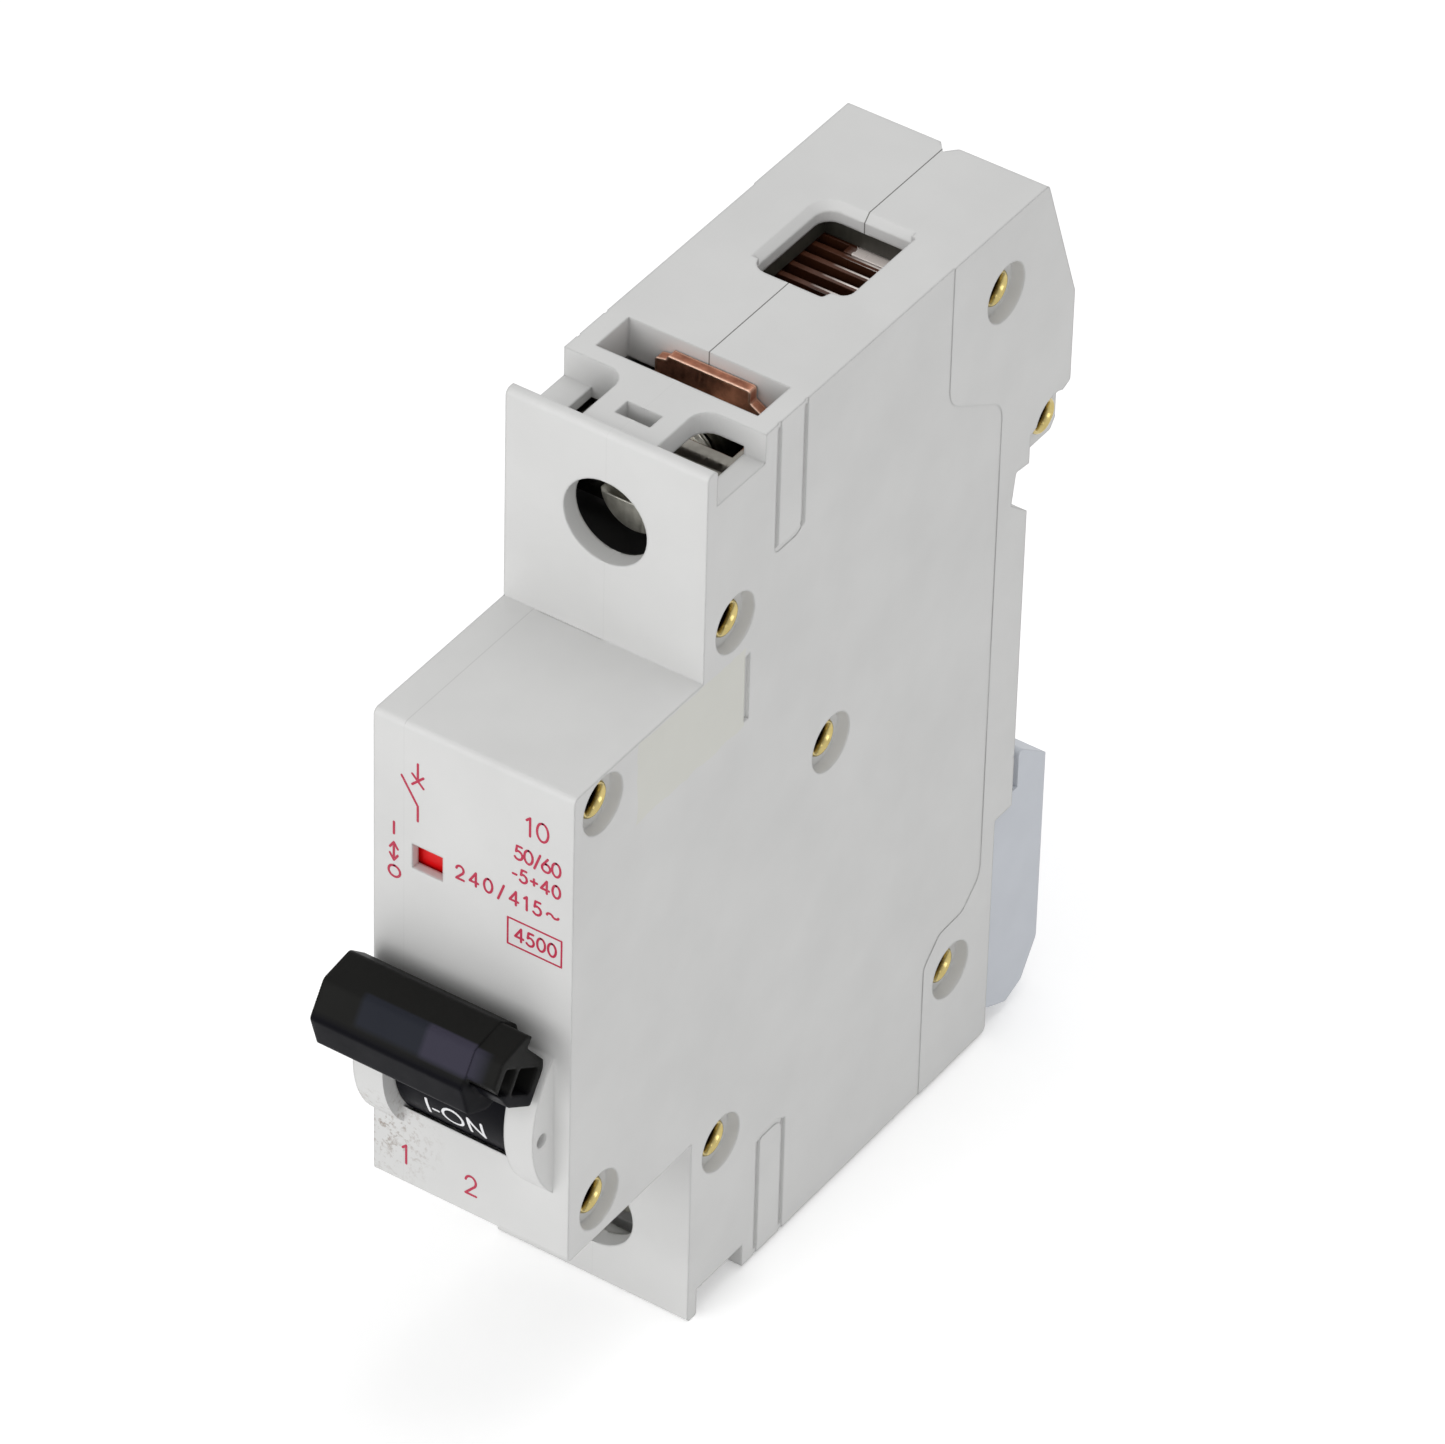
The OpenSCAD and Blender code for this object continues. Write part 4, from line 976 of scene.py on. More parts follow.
GLYPHS: Dict[str, Tuple[float, Tuple[object, ...]]] = {
    "0": (0.62, (Arc(0.31, 0.5, 0.29, 0.5, 90, 450),)),
    "1": (0.34, (Line(0.2, 0.0, 0.2, 1.0), Line(0.2, 1.0, 0.02, 0.82))),
    "2": (0.6, (Arc(0.28, 0.7, 0.26, 0.3, 170, -38), Line(0.485, 0.515, 0.02, 0.0),
                Line(0.02, 0.0, 0.56, 0.0))),
    "4": (0.66, (Line(0.46, 0.0, 0.46, 1.0), Line(0.46, 1.0, 0.02, 0.27),
                 Line(0.02, 0.27, 0.62, 0.27))),
    "5": (0.6, (Line(0.5, 1.0, 0.16, 1.0), Line(0.16, 1.0, 0.1, 0.56),
                Arc(0.26, 0.32, 0.29, 0.32, 122, -145))),
    "6": (0.64, (Arc(0.31, 0.3, 0.29, 0.3, 90, 450), Line(0.045, 0.42, 0.42, 1.0))),
    "I": (0.2, (Line(0.1, 0.0, 0.1, 1.0),)),
    "O": (1.06, (Arc(0.52, 0.5, 0.49, 0.5, 90, 450),)),
    "N": (0.82, (Line(0.06, 0.0, 0.06, 1.0), Line(0.06, 1.0, 0.72, 0.0),
                 Line(0.72, 0.0, 0.72, 1.0))),
    "F": (0.52, (Line(0.06, 0.0, 0.06, 1.0), Line(0.06, 1.0, 0.46, 1.0),
                 Line(0.06, 0.55, 0.42, 0.55))),
    "-": (0.4, (Line(0.06, 0.42, 0.32, 0.42),)),
    "+": (0.6, (Line(0.06, 0.45, 0.52, 0.45), Line(0.29, 0.2, 0.29, 0.7))),
    "/": (0.5, (Line(0.04, -0.1, 0.44, 1.05),)),
    "~": (0.9, (Arc(0.22, 0.4, 0.2, 0.16, 180, 20), Arc(0.62, 0.5, 0.22, 0.16, 200, 350))),
    " ": (0.5, ()),
}


@dataclass
class Lettering:
    """Stroke lettering laid on a surface.

    Each stroke is a ribbon of constant width with round ends and a small thickness. A
    ribbon point (u, v, h), with u to the right, v up and h out, goes through place.
    """

    place: Callable[[Array], Array]
    pen: float
    film: float = 0.02 * MM
    root: float = -0.02 * MM
    bodies: List[Surface] = field(default_factory=list)

    def stroke(self, points: Array) -> None:
        """Adds one pen stroke.

        The half width is pen / 2 along the stroke and sqrt(r^2 - d^2) beyond its ends,
        and later strokes lie a little higher than earlier ones.

        Args:
            points: The stroke's centre line (n, 2), in metres.
        """
        r = self.pen / 2
        ends = r * np.sin(np.radians([80.0, 60.0, 40.0, 20.0]))
        first, last = (way / np.linalg.norm(way) for way in (
            points[0] - points[1], points[-1] - points[-2]))
        path = np.concatenate([points[0] + first * ends[:, None], points,
                               points[-1] + last * ends[::-1, None]])
        half = np.concatenate([np.sqrt(r * r - ends**2), np.full(len(points), r),
                               np.sqrt(r * r - ends[::-1] ** 2)])
        t = np.gradient(path, axis=0)
        t /= np.linalg.norm(t, axis=1, keepdims=True)
        side = np.stack([-t[:, 1], t[:, 0]], -1) * half[:, None]
        top = self.film * (1.0 + 0.06 * (len(self.bodies) % 7))
        ring = []
        for offset, height in ((side, self.root), (side, top), (-side, top),
                               (-side, self.root)):
            flat = path + offset
            ring.append(np.column_stack([flat, np.full(len(flat), height)]))
        stations = np.stack(ring, axis=1)
        placed = self.place(stations.reshape(-1, 3)).reshape(stations.shape)
        self.bodies.append(tube(placed))

    def write(self, text: str, left: float, base: float, height: float,
              width: Optional[float] = None) -> None:
        """Writes a line of characters.

        Args:
            text: Characters of GLYPHS.
            left: Left end, in metres.
            base: Base line, in metres.
            height: Letter height, in metres.
            width: Length of the line; the spacing opens to reach it.
        """
        inset = self.pen / 2
        natural = sum(GLYPHS[c][0] for c in text) * height
        gap = 0.18 * height
        if width is not None and len(text) > 1:
            gap = (width - natural) / (len(text) - 1)
        at = left + inset
        for c in text:
            advance, strokes = GLYPHS[c]
            for s in strokes:
                flat = s.points() * (height - 2 * inset)
                self.stroke(flat + np.array([at, base + inset]))
            at += advance * height + gap

    def piece(self, name: str, body: str, ink: Stock, slot: str) -> bpy.types.Object:
        """Makes the lettering one piece that rides on a body.

        Args:
            name: Piece name.
            body: CAD body that it rides on.
            ink: Finish of the strokes.
            slot: Material slot of the record; not used.

        Returns:
            The lettering.
        """
        made = make_piece(name, self.bodies, ink.material(), smooth=False)
        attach(made, body)
        return made


# ---- Sub-assemblies --------------------------------------------------------------


@dataclass
class CaseShell:
    """The two case halves, their rivets and the printed marks on the nose."""

    nose_y: float = -60.2 * MM
    pen: float = 0.2 * MM
    frame_pen: float = 0.15 * MM
    symbol_at: Tuple[float, float] = (-4.95, 16.5)
    arrow_x: float = -7.1
    arrow_z: Tuple[float, float] = (9.05, 10.75)
    arrow_head: Tuple[float, float] = (0.35, 0.55)
    off_ring: Arc = Arc(-7.05, 8.0, 0.52, 0.52, 90, 450)
    number_frame: Tuple[float, float, float, float] = (3.15, 6.2, 7.95, 8.7)
    numbers: Tuple[Tuple[str, float, float, float, float], ...] = (
        ("10", 4.6, 17.2, 1.9, 2.1), ("50/60", 3.6, 14.5, 1.45, 4.2),
        ("-5+40", 3.4, 12.5, 1.35, 4.4), ("240/415~", -1.6, 10.05, 1.45, 9.4),
        ("4500", 3.7, 6.75, 1.4, 3.8), ("1  2", -6.4, -20.4, 2.0, 7.0))
    rivet_axes: Tuple[Tuple[float, float], ...] = (
        (-4.5, 34.2), (3.2, 17.3), (-39.9, 25.7), (-26.4, 5.3), (-56.6, 19.8),
        (-8.0, -30.2), (-39.9, -25.2), (-56.2, -19.0))
    rivet_r: float = 1.24 * MM
    rivet_end: float = 2.95 * MM
    collar: float = 0.45 * MM
    round_points: int = 40

    def on_nose(self, flat: Array) -> Array:
        """(u, v, h) on the nose front: X = u, Y = nose_y - h, Z = v."""
        return np.column_stack([flat[:, 0], self.nose_y - flat[:, 2], flat[:, 1]])

    def straights(self, marks: Lettering, ends: Sequence[Tuple[float, ...]]) -> None:
        """Draws straight strokes of eight points, from their ends in millimetres.

        Args:
            marks: Lettering that gets the strokes.
            ends: For each stroke x0, z0, x1 and z1.
        """
        t = np.linspace(0.0, 1.0, 8)[:, None]
        for x0, z0, x1, z1 in ends:
            marks.stroke(np.array([x0, z0]) * MM * (1 - t) + np.array([x1, z1]) * MM * t)

    def marks(self) -> None:
        """Prints the plain marks: a symbol, the switch states and bare numbers."""
        ink = Lettering(self.on_nose, self.pen)
        # The standard sign of a circuit breaker at the top left: two leads, the open
        # blade and the cross at the fixed contact
        x, z = self.symbol_at
        self.straights(ink, (
            (x, z + 2.7, x, z + 1.1), (x, z - 2.7, x, z - 1.3),
            (x, z - 1.3, x - 1.45, z + 1.0), (x - 0.5, z + 0.6, x + 0.5, z + 1.6),
            (x + 0.5, z + 0.6, x - 0.5, z + 1.6)))
        # Switch states beside the flag's window, with a double arrow between them
        ink.write("I", -7.3 * MM, 11.5 * MM, 1.3 * MM)
        x, (low, high), (wide, tall) = self.arrow_x, self.arrow_z, self.arrow_head
        self.straights(ink, (
            (x, low + 0.05, x, high - 0.05), (x, high, x - wide, high - tall),
            (x, high, x + wide, high - tall), (x, low, x - wide, low + tall),
            (x, low, x + wide, low + tall)))
        ink.stroke(self.off_ring.points() * MM)
        # Plain numbers on the right and the two poles' numbers at the bottom
        for text, left, base, height, width in self.numbers:
            ink.write(text, left * MM, base * MM, height * MM, width * MM)
        ink.piece("nose_marks", "case", Stock.CRIMSON_INK, "case_grey")
        box = Lettering(self.on_nose, self.frame_pen)
        x0, z0, x1, z1 = self.number_frame
        self.straights(box, ((x0, z0, x1, z0), (x1, z0, x1, z1), (x1, z1, x0, z1),
                             (x0, z1, x0, z0)))
        box.piece("nose_number_frame", "case", Stock.CRIMSON_INK, "case_grey")

    def rivets(self) -> None:
        """Rolls the sixteen ends of the eight tubular rivets, with their shanks.

        An end is a surface of revolution about X: its radius and height follow a closed
        profile that rises from the collar's foot over the rolled lip and sinks as a
        smooth dish into the bore. Its height is counted from the collar's seat, which
        lies a collar's thickness inside the CAD rivets' own end.
        """
        profile = np.array([
            [1.25, -2.9], [1.25, 0.0], [1.5, 0.0], [1.55, 0.08], [1.55, 0.2], [1.5, 0.32],
            [1.42, 0.4], [1.34, 0.42], [1.25, 0.37], [1.14, 0.24], [1.04, 0.05],
            [0.96, -0.2], [0.91, -0.6], [0.88, -1.4], [0.88, -2.6], [0.5, -2.75],
            [0.2, -2.8]]) * MM
        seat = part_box("case_rivets")[1].x - self.collar
        ends = seat - self.rivet_end
        shank = np.array([[self.rivet_r, -ends], [self.rivet_r, ends]])
        a = np.arange(self.round_points) * TAU / self.round_points
        bodies = []
        for y, z in self.rivet_axes:
            for outline, side, base in ((profile, 1.0, seat), (profile, -1.0, seat),
                                        (shank, 1.0, 0.0)):
                r, rise = outline[:, :1], outline[:, 1:]
                bodies.append(tube(np.stack([
                    side * (base + rise) + 0 * a, y * MM + r * np.cos(a),
                    z * MM + r * np.sin(a)], -1)))
        made = make_piece("rolled_rivets", bodies, Stock.BRASS.material())
        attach(made, "case")
        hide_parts("case_rivets")
        log.info("%d rivets", len(self.rivet_axes))

    def build(self) -> None:
        """Dresses the halves and rivets and prints the marks."""
        dress({"right_case": Stock.CASE, "left_case": Stock.CASE})
        self.rivets()
        self.marks()
        log.info("case shell: halves, rivets and marks")


@dataclass
class Coil:
    """A helix of round wire about an axis through a point.

    The centre line is r (cos a, sin a) with a from 0 to turns x 360 degrees and rises
    with a; a round profile is carried along it.
    """

    centre: Vector
    axis: str
    radius: float
    wire: float
    length: float
    turns: float
    per_turn: int = 40
    sides: int = 12

    def body(self) -> Surface:
        """Works the wire out as one closed body.

        Returns:
            The closed wire.
        """
        a = np.linspace(0.0, TAU * self.turns, int(self.per_turn * self.turns) + 1)
        line = np.column_stack([self.radius * np.cos(a), self.radius * np.sin(a),
                                self.length * a / a[-1]])
        wire = sweep(line, circle(self.wire, self.sides), np.array([0.0, 0.0, 1.0]))
        turn = Matrix.Identity(4) if self.axis == "z" else Matrix.Rotation(
            math.pi / 2, 4, "Y")
        return wire.turned(Matrix.Translation(self.centre) @ turn)


@dataclass(frozen=True)
class Spring:
    """One spring: its node, moving body, axis, wire radius, turns and fixed end."""

    node: str
    moving: str
    axis: str
    wire: float
    turns: float
    fixed_low: bool

    def build(self) -> None:
        """Winds the coil in the CAD spring's box."""
        low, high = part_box(self.node)
        k = "xyz".index(self.axis)
        start, end = (low + high) / 2, (low + high) / 2
        foot = start.copy()
        foot[k] = low[k] + self.wire
        radius = (high[1] - low[1]) / 2 - self.wire
        coil = Coil(foot, self.axis, radius, self.wire, high[k] - low[k] - 2 * self.wire,
                    self.turns)
        made = make_piece(self.node + "_wire", [coil.body()], Stock.SPRING.material())
        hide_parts(self.node)
        start[k], end[k] = (low[k], high[k]) if self.fixed_low else (high[k], low[k])
        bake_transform(made)
        log.info("spring %s", self.node)


@dataclass
class Springs:
    """The four springs, each standing for its plain CAD wire."""

    springs: Tuple[Spring, ...] = (
        Spring("clip_spring", "clip", "z", 0.3 * MM, 5, False),
        Spring("toggle_spring", "toggle", "x", 0.35 * MM, 2, False),
        Spring("contact_spring", "contact", "x", 0.4 * MM, 2, True),
        Spring("plunger_spring", "plunger", "z", 0.18 * MM, 3, True))

    def build(self) -> None:
        """Winds all four springs."""
        for spring in self.springs:
            spring.build()


@dataclass
class Toggle:
    """The black toggle with the words on its drum, and what it moves by its link."""

    axis_y: float = -53.2 * MM
    axis_z: float = -9.5 * MM
    drum_r: float = 8.45 * MM
    word_h: float = 2.1 * MM
    word_pen: float = 0.24 * MM
    words: Tuple[Tuple[str, str, float, float, float], ...] = (
        ("drum_on_mark", "I-ON", 13.0, -3.6, 5.6),
        ("drum_off_mark", "O-OFF", -32.0, -3.9, 6.8))

    def on_drum(self, top_deg: float) -> Callable[[Array], Array]:
        """Placement round the drum.

        v runs up the drum from a base line: the angle below level is
        top + (word_h - v) / drum_r, and the point lies drum_r + h from the axis.

        Args:
            top_deg: Angle below level of the top of the letters.

        Returns:
            Function that puts (u, v, h) points on the drum.
        """

        def place(flat: Array) -> Array:
            """Puts flat points on the drum."""
            a = math.radians(top_deg) + (self.word_h - flat[:, 1]) / self.drum_r
            r = self.drum_r + flat[:, 2]
            return np.column_stack([flat[:, 0], self.axis_y - r * np.cos(a),
                                    self.axis_z - r * np.sin(a)])

        return place

    def print_words(self) -> None:
        """Prints the two switch states on the drum, one shown and one hidden at rest."""
        for name, text, top, left, width in self.words:
            ink = Lettering(self.on_drum(top), self.word_pen)
            ink.write(text, left * MM, 0.0, self.word_h, width * MM)
            ink.piece(name, "toggle", Stock.WHITE_INK, "toggle_black")

    def build(self) -> None:
        """Dresses the toggle and prints its words."""
        dress({"toggle_handle": Stock.TOGGLE, "toggle_axle": Stock.PIN,
               "toggle_link": Stock.PIN, "indicator_flag": Stock.FLAG,
               "flag_slider": Stock.SLIDER})
        self.print_words()
        log.info("toggle: handle, words, axle, link and flag")


@dataclass
class ContactWorks:
    """Carrier, contacts, latch, trip lever and the braid that feeds the moving arm."""

    strands: int = 8
    braid_r: float = 0.75 * MM
    strand_r: float = 0.22 * MM
    plait: float = 2.6 * MM
    flatness: float = 0.42
    swell: float = 0.16
    stations: int = 240
    cut: int = 60

    def braid(self) -> None:
        """Plaits a bare copper braid along the CAD braid's middle line.

        The route is the fourth-power curve that best fits six points in the Y-Z plane.
        Strand k runs round it at the angle a = +-(2 pi s / plait) + phase, half of the
        strands each way, on a flat oval, and its distance from the middle swells
        strands / 2 times a turn, so that the two sets pass over and under each other.
        The foot and the rest are two pieces that meet at a cut.
        """
        low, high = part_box("flexible_braid")
        # Y and Z in millimetres, from the bimetal's end up to the arm
        knots = np.array([[-16.6, low[2] / MM + 0.35], [-16.5, -18.0], [-16.5, -12.0],
                          [-16.7, -7.0], [-18.2, -3.6], [high[1] / MM - 4.2, -1.0]])
        span = np.linspace(0.0, 1.0, len(knots))
        t = np.linspace(0.0, 1.0, self.stations)
        y, z = (np.poly1d(np.polyfit(span, knots[:, k], 4))(t) * MM for k in (0, 1))
        line = np.column_stack([np.zeros_like(y), y, z])
        step = np.linalg.norm(np.gradient(line, axis=0), axis=1)
        s = np.concatenate([[0.0], np.cumsum(step[1:])])
        along = np.gradient(line, axis=0) / step[:, None]
        side = np.array([1.0, 0.0, 0.0])
        normal = np.cross(along, side)
        strands = []
        for k in range(self.strands):
            way = 1.0 if k % 2 == 0 else -1.0
            a = way * TAU * s / self.plait + TAU * k / self.strands
            swell = 1.0 + self.swell * way * np.cos(self.strands / 2 * a)
            offset = (side * (self.braid_r * np.cos(a) * swell)[:, None]
                      + normal * (self.flatness * self.braid_r * np.sin(a)
                                  * swell)[:, None])
            strands.append(line + offset)
        for name, part, ends, start, stop in (
                ("flexible_braid_foot", slice(0, self.cut + 1), ("bimetal", "case"), 4,
                 self.cut - 2),
                ("flexible_braid_plait", slice(self.cut, None), ("case", "contact"),
                 self.cut, -1)):
            made = make_piece(name, [sweep(path[part], circle(self.strand_r, 6), side + 0.2)
                                     for path in strands], Stock.COPPER.material())
            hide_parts("flexible_braid")
            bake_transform(made)
        log.info("braid of %d strands", self.strands)

    def build(self) -> None:
        """Dresses the mechanism and plaits the braid."""
        dress({"mechanism_pin": Stock.PIN, "contact_carrier": Stock.CARRIER,
               "contact_arm": Stock.COPPER, "contact_tip": Stock.SILVER,
               "trip_latch": Stock.PIN, "latch_pin": Stock.PIN,
               "trip_lever": Stock.LEVER, "fixed_contact": Stock.COPPER,
               "fixed_contact_tip": Stock.SILVER})
        self.braid()
        log.info("contact works dressed")


@dataclass
class Releases:
    """The short-circuit solenoid and the overload bimetal."""

    wire_r: float = 0.75 * MM
    turns: float = 6.0
    clear: float = 0.98

    def winding(self) -> None:
        """Winds the solenoid's enamelled wire in the CAD coil's box, a little thinner."""
        low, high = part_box("solenoid_coil")
        middle = (low + high) / 2
        radius = (high[0] - low[0]) / 2 - self.wire_r
        start = Vector((middle.x, middle.y, low.z + self.wire_r))
        height = high.z - low.z - 2 * self.wire_r
        coil = Coil(start, "z", radius, self.wire_r * self.clear, height, self.turns)
        made = make_piece("solenoid_winding", [coil.body()], Stock.ENAMEL.material())
        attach(made, "case")
        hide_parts("solenoid_coil")
        log.info("solenoid winding")

    def build(self) -> None:
        """Dresses both releases."""
        dress({"coil_bobbin": Stock.BOBBIN, "magnet_yoke": Stock.ZINC,
               "fixed_core": Stock.ZINC, "plunger": Stock.ZINC,
               "bimetal_strip": Stock.BIMETAL, "calibration_nut": Stock.ZINC})
        self.winding()
        log.info("releases dressed")


@dataclass
class ArcChute:
    """Splitter plates, their side boards and the rear runner."""

    def build(self) -> None:
        """Dresses the chute."""
        dress({"splitter_plates": Stock.SPLITTER, "chute_sides": Stock.FIBRE,
               "rear_arc_runner": Stock.ZINC})
        log.info("arc chute dressed")


class End(Enum):
    """The two ends of the breaker that carry a terminal."""

    UPPER = "upper"
    LOWER = "lower"


@dataclass
class Thread:
    """A threaded shank: a surface of revolution whose radius follows a ridge.

    With s along the axis and a round it, the radius is major - depth x w, where w is a
    triangle wave of s / pitch - a / 360 degrees that is 0 at the crests, and the whole
    runs down to a small chamfer at each end.
    """

    major: float
    pitch: float
    depth: float
    start: Vector
    length: float
    axis: str = "y"
    per_pitch: int = 12
    round_points: int = 48

    def body(self) -> Surface:
        """Works the shank out as one closed body.

        Returns:
            The closed shank.
        """
        rows = int(self.length / self.pitch * self.per_pitch)
        s = np.linspace(0.0, self.length, rows)[:, None]
        a = (np.arange(self.round_points) * TAU / self.round_points)[None, :]
        phase = (s / self.pitch - a / TAU) % 1.0
        w = np.abs(2 * phase - 1)
        inset = np.minimum(s, self.length - s)
        r = np.minimum(self.major - self.depth * w, self.major - self.depth + inset)
        x, z = r * np.cos(a), r * np.sin(a)
        along = s + 0 * a
        order = (x, along, z) if self.axis == "y" else (x, z, along)
        return tube(np.stack(order, axis=-1) + np.array(self.start))


@dataclass
class Terminal:
    """One end's strip, clamp cage, pressure plate and threaded clamp screw."""

    end: End
    screw_r: float = 2.5 * MM
    pitch: float = 0.8 * MM
    head_t: float = 2.0 * MM
    head_r: float = 3.2 * MM
    slot: float = 0.65 * MM
    slot_depth: float = 1.3 * MM
    broken_edge: float = 0.25 * MM
    thread_depth: float = 0.32 * MM
    dog_r: float = 1.2 * MM
    dog_length: float = 1.05 * MM
    dog_points: int = 32

    def head(self, middle: Vector, front: float) -> List[Surface]:
        """Works out the slotted head: a disc, and two lands beside the slot.

        A land's outline is the arc of head_r from angle a0 to 180 degrees - a0 with
        sin a0 = slot / head_r, closed by its chord. Each outline shrinks a little at the
        front, where the turned edge is broken.

        Args:
            middle: Point on the screw's axis.
            front: Y of the head's front face.

        Returns:
            Three closed bodies.
        """
        a0 = math.asin(self.slot / self.head_r)
        whole = circle(self.head_r, 48)
        arc = np.linspace(a0, math.pi - a0, 32)
        land = self.head_r * np.stack([np.cos(arc), np.sin(arc)], -1)
        floor = front + self.slot_depth
        bodies = []
        edge = front + self.broken_edge
        for outline, ys in ((whole, (floor, front + self.head_t)),
                            (land, (front, edge, floor)),
                            (-land, (front, edge, floor))):
            centre = outline.mean(axis=0)
            rings = []
            for k, y in enumerate(ys):
                shrink = 0.93 if len(ys) == 3 and k == 0 else 1.0
                flat = centre + (outline - centre) * shrink
                rings.append(np.column_stack([middle.x + flat[:, 0], np.full(len(flat), y),
                                              middle.z + flat[:, 1]]))
            bodies.append(tube(np.stack(rings)))
        return bodies

    def screw(self) -> None:
        """Builds the clamp screw: slotted head, shank with a real thread, plain dog."""
        node = f"{self.end.value}_clamp_screw"
        low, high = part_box(node)
        under_head = low.y + self.head_t
        middle = (low + high) / 2
        shank = Thread(self.screw_r, self.pitch, self.thread_depth,
                       Vector((middle.x, under_head, middle.z)),
                       high.y - under_head - 1.0 * MM)
        dog = ((high.y - self.dog_length, self.dog_r), (high.y - 0.15 * MM, self.dog_r),
               (high.y, self.dog_r - 0.2 * MM))
        a = np.arange(self.dog_points) * TAU / self.dog_points
        rings = np.stack([np.stack([middle.x + r * np.cos(a), y + 0 * a,
                                    middle.z + r * np.sin(a)], -1) for y, r in dog])
        made = make_piece(node + "_threaded", [shank.body(), tube(rings)]
                          + self.head(middle, low.y), Stock.SCREW.material())
        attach(made, f"{self.end.value}_screw")
        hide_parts(node)

    def build(self) -> None:
        """Dresses this end's terminal."""
        name = self.end.value
        dress({f"{name}_terminal_strip": Stock.COPPER, f"{name}_clamp_cage": Stock.CAGE,
               f"{name}_clamp_plate": Stock.CAGE})
        self.screw()
        log.info("%s terminal dressed", name)


@dataclass
class RailClip:
    """The sprung clip behind the case and the calibration screw's thread."""

    screw_r: float = 0.95 * MM
    pitch: float = 0.4 * MM
    thread_depth: float = 0.14 * MM

    def build(self) -> None:
        """Dresses the clip and threads the calibration screw."""
        dress({"rail_clip": Stock.CLIP})
        low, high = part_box("calibration_screw")
        middle = (low + high) / 2
        rod = Thread(self.screw_r, self.pitch, self.thread_depth,
                     Vector((middle.x, middle.y, low.z)), high.z - low.z, axis="z")
        made = make_piece("calibration_screw_thread", [rod.body()],
                          Stock.BRASS_SCREW.material())
        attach(made, "case")
        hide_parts("calibration_screw")
        log.info("rail clip and calibration screw")


# ---- Studio ------------------------------------------------------------------------


@dataclass(frozen=True)
class Lamp:
    """One white soft box: a square area light aimed at the object's middle."""

    name: str
    at: Tuple[float, float, float]
    size: float
    watts: float

    def build(self, aim: Vector) -> None:
        """Hangs the lamp.

        Args:
            aim: Point that the lamp faces.
        """
        data = bpy.data.lights.new(self.name, "AREA")
        data.shape = "SQUARE"
        data.size = self.size
        data.energy = self.watts
        lamp = bpy.data.objects.new(self.name, data)
        lamp.location = self.at
        lamp.rotation_mode = "QUATERNION"
        lamp.rotation_quaternion = (Vector(self.at) - aim).to_track_quat("Z", "Y")
        bpy.context.scene.collection.objects.link(lamp)


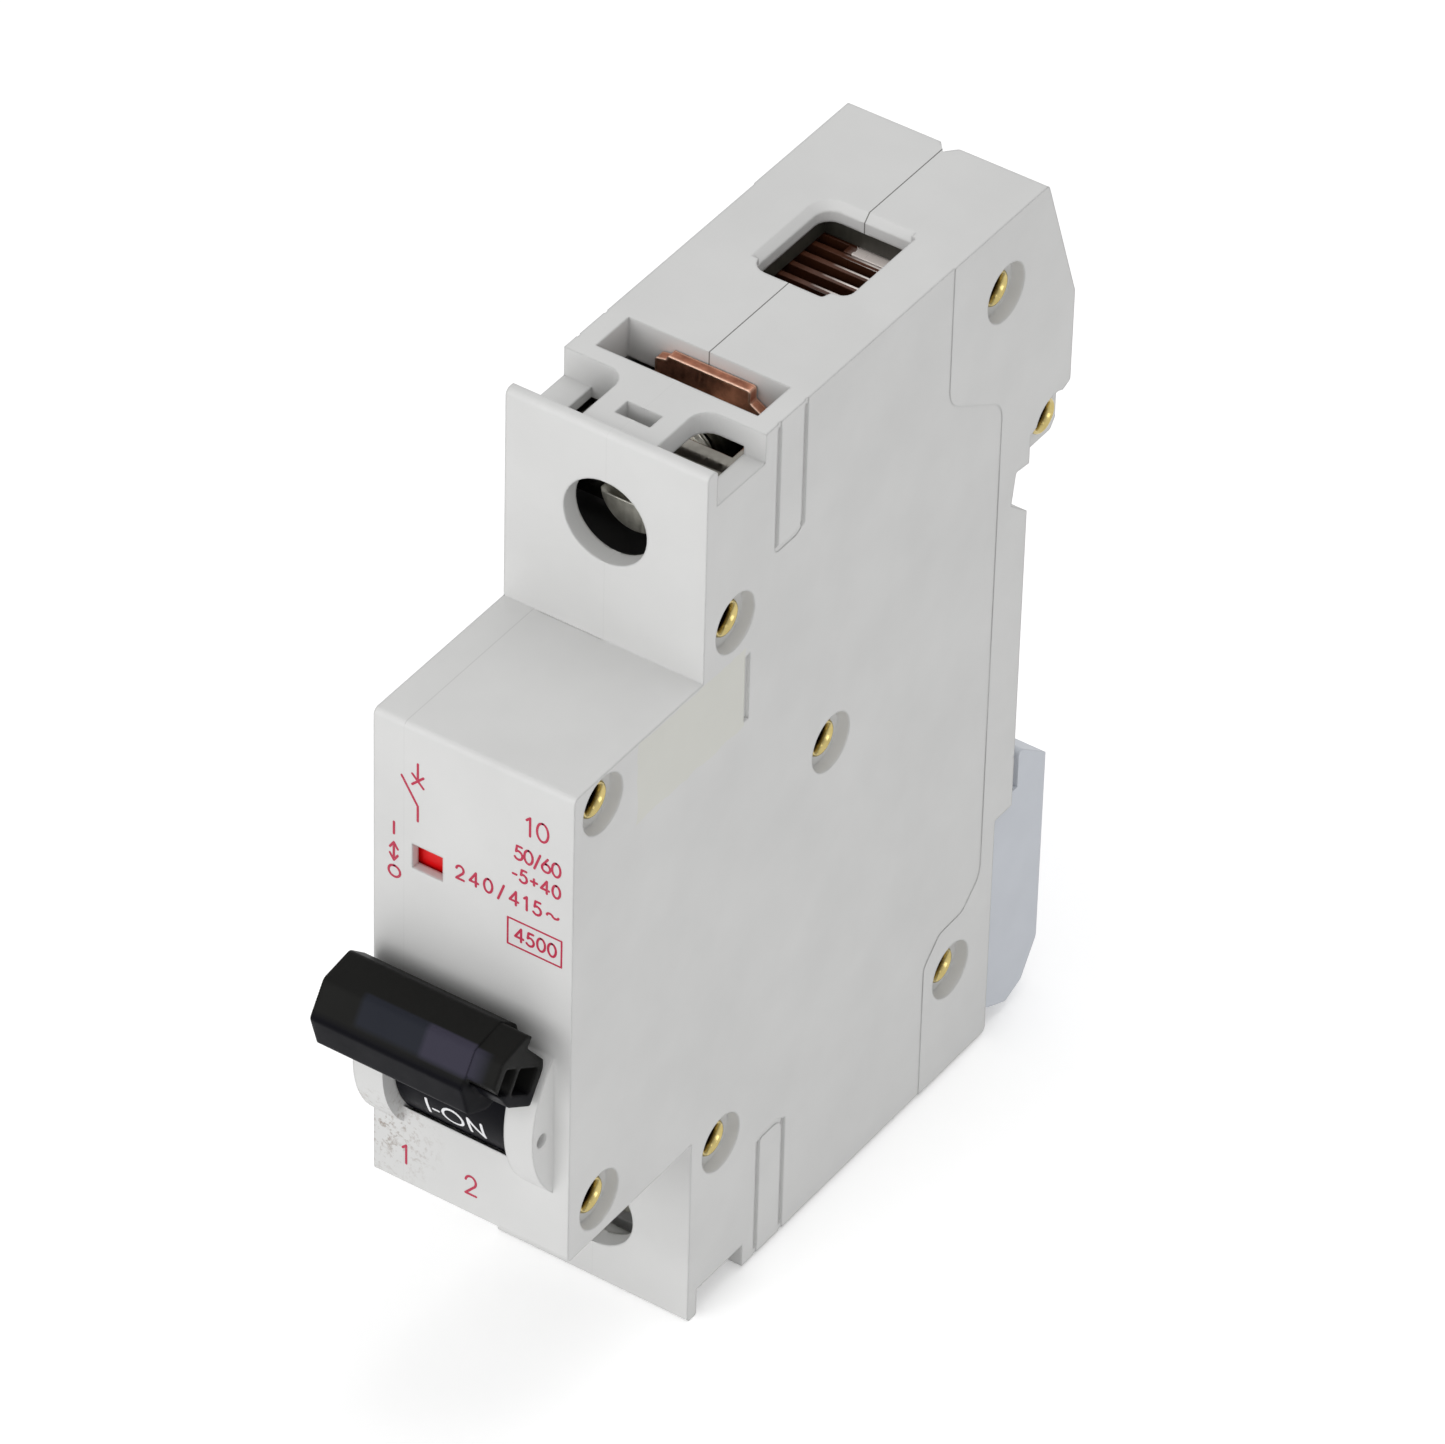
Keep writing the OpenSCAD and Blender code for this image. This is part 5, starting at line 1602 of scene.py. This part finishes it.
@dataclass
class Studio:
    """Camera, pale floor, pale surround and soft boxes."""

    azimuth: float = 33.43
    elevation: float = 39.54
    roll: float = -1.56
    at: Tuple[float, float, float] = (0.325568, -0.520915, 0.491683)
    lens: float = 253.13
    sensor: float = 36.0
    surround: float = 0.62
    paper: str = "#F2F2F2"
    paper_lift: float = 0.3
    floor_half: float = 3.0
    lamps: Tuple[Lamp, ...] = (Lamp("front_box", (-0.25, -0.9, 0.35), 0.5, 2.9),
                               Lamp("top_box", (0.1, 0.1, 1.0), 0.6, 2.1),
                               Lamp("side_box", (0.65, -0.75, 0.25), 0.5, 1.35))

    def camera(self) -> None:
        """Sets the camera: seen from the front right, above, with a slight roll."""
        a, e, r = (math.radians(v) for v in (self.azimuth, self.elevation, self.roll))
        back = Vector((math.sin(a) * math.cos(e), -math.cos(a) * math.cos(e), math.sin(e)))
        level = Vector((math.cos(a), math.sin(a), 0.0))
        right = level * math.cos(r) - back.cross(level) * math.sin(r)
        up = back.cross(right)
        turn = Matrix((right, up, back)).transposed()
        data = bpy.data.cameras.new("camera")
        data.lens = self.lens
        data.sensor_width = self.sensor
        data.clip_start, data.clip_end = 0.01, 20.0
        camera = bpy.data.objects.new("camera", data)
        camera.rotation_mode = "QUATERNION"
        camera.rotation_quaternion = turn.to_quaternion()
        camera.location = self.at
        bpy.context.scene.collection.objects.link(camera)
        bpy.context.scene.camera = camera

    def shown(self, tree: bpy.types.NodeTree) -> bpy.types.NodeSocket:
        """1 for rays that see the backdrop, straight, in gloss or through glass.

        Args:
            tree: Node tree of the material.

        Returns:
            The share, 0 or 1.
        """
        path = add_node(tree, "LightPath")
        seen = path.outputs["Is Camera Ray"]
        for name in ("Is Glossy Ray", "Is Transmission Ray"):
            seen = add_node(tree, "Math", {"operation": "MAXIMUM"}, {
                0: seen, 1: path.outputs[name]}).outputs[0]
        return seen

    def floor(self, height: float) -> None:
        """Lays a wide pale floor under the object.

        Args:
            height: Z of the floor.
        """
        mesh = bpy.data.meshes.new("floor")
        r = self.floor_half
        mesh.from_pydata([(-r, -r, height), (r, -r, height), (r, r, height),
                          (-r, r, height)], [], [(0, 1, 2, 3)])
        floor = bpy.data.objects.new("floor", mesh)
        bpy.context.scene.collection.objects.link(floor)
        material = bpy.data.materials.new("floor_paper")
        material.use_nodes = True
        tree = material.node_tree
        shader = tree.nodes["Principled BSDF"]
        shader.inputs["Base Color"].default_value = linear(self.paper)
        shader.inputs["Roughness"].default_value = 0.9
        shader.inputs["Specular IOR Level"].default_value = 0.0
        lift = add_node(tree, "Math", {"operation": "MULTIPLY"}, {
            0: self.shown(tree), 1: self.paper_lift})
        shader.inputs["Emission Color"].default_value = (1.0, 1.0, 1.0, 1.0)
        tree.links.new(lift.outputs[0], shader.inputs["Emission Strength"])
        floor.data.materials.append(material)
        floor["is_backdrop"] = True

    def world(self) -> None:
        """Surrounds the object with even pale light and a white backdrop."""
        world = bpy.data.worlds.new("surround")
        world.use_nodes = True
        bpy.context.scene.world = world
        tree = world.node_tree
        background = tree.nodes["Background"]
        strength = add_node(tree, "MapRange", None, {
            "Value": self.shown(tree), "To Min": self.surround, "To Max": 1.0})
        background.inputs["Color"].default_value = (1.0, 1.0, 1.0, 1.0)
        tree.links.new(strength.outputs["Result"], background.inputs["Strength"])

    def build(self, low: Vector, high: Vector) -> None:
        """Builds the whole studio round the object's box.

        Args:
            low: Lowest corner of the object's box.
            high: Highest corner of it.
        """
        self.camera()
        self.world()
        self.floor(low.z)
        aim = (low + high) / 2
        for lamp in self.lamps:
            lamp.build(aim)
        view = bpy.context.scene.view_settings
        view.view_transform = "Standard"
        log.info("studio built")


def main() -> None:
    """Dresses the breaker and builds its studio."""
    logging.basicConfig(level=logging.INFO, format="%(name)s: %(message)s")
    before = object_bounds()
    for part in (CaseShell(), Toggle(), ContactWorks(), Springs(), Releases(), ArcChute(),
                 Terminal(End.UPPER), Terminal(End.LOWER), RailClip()):
        part.build()
    Studio().build(*before)


if __name__ == "__main__":
    main()
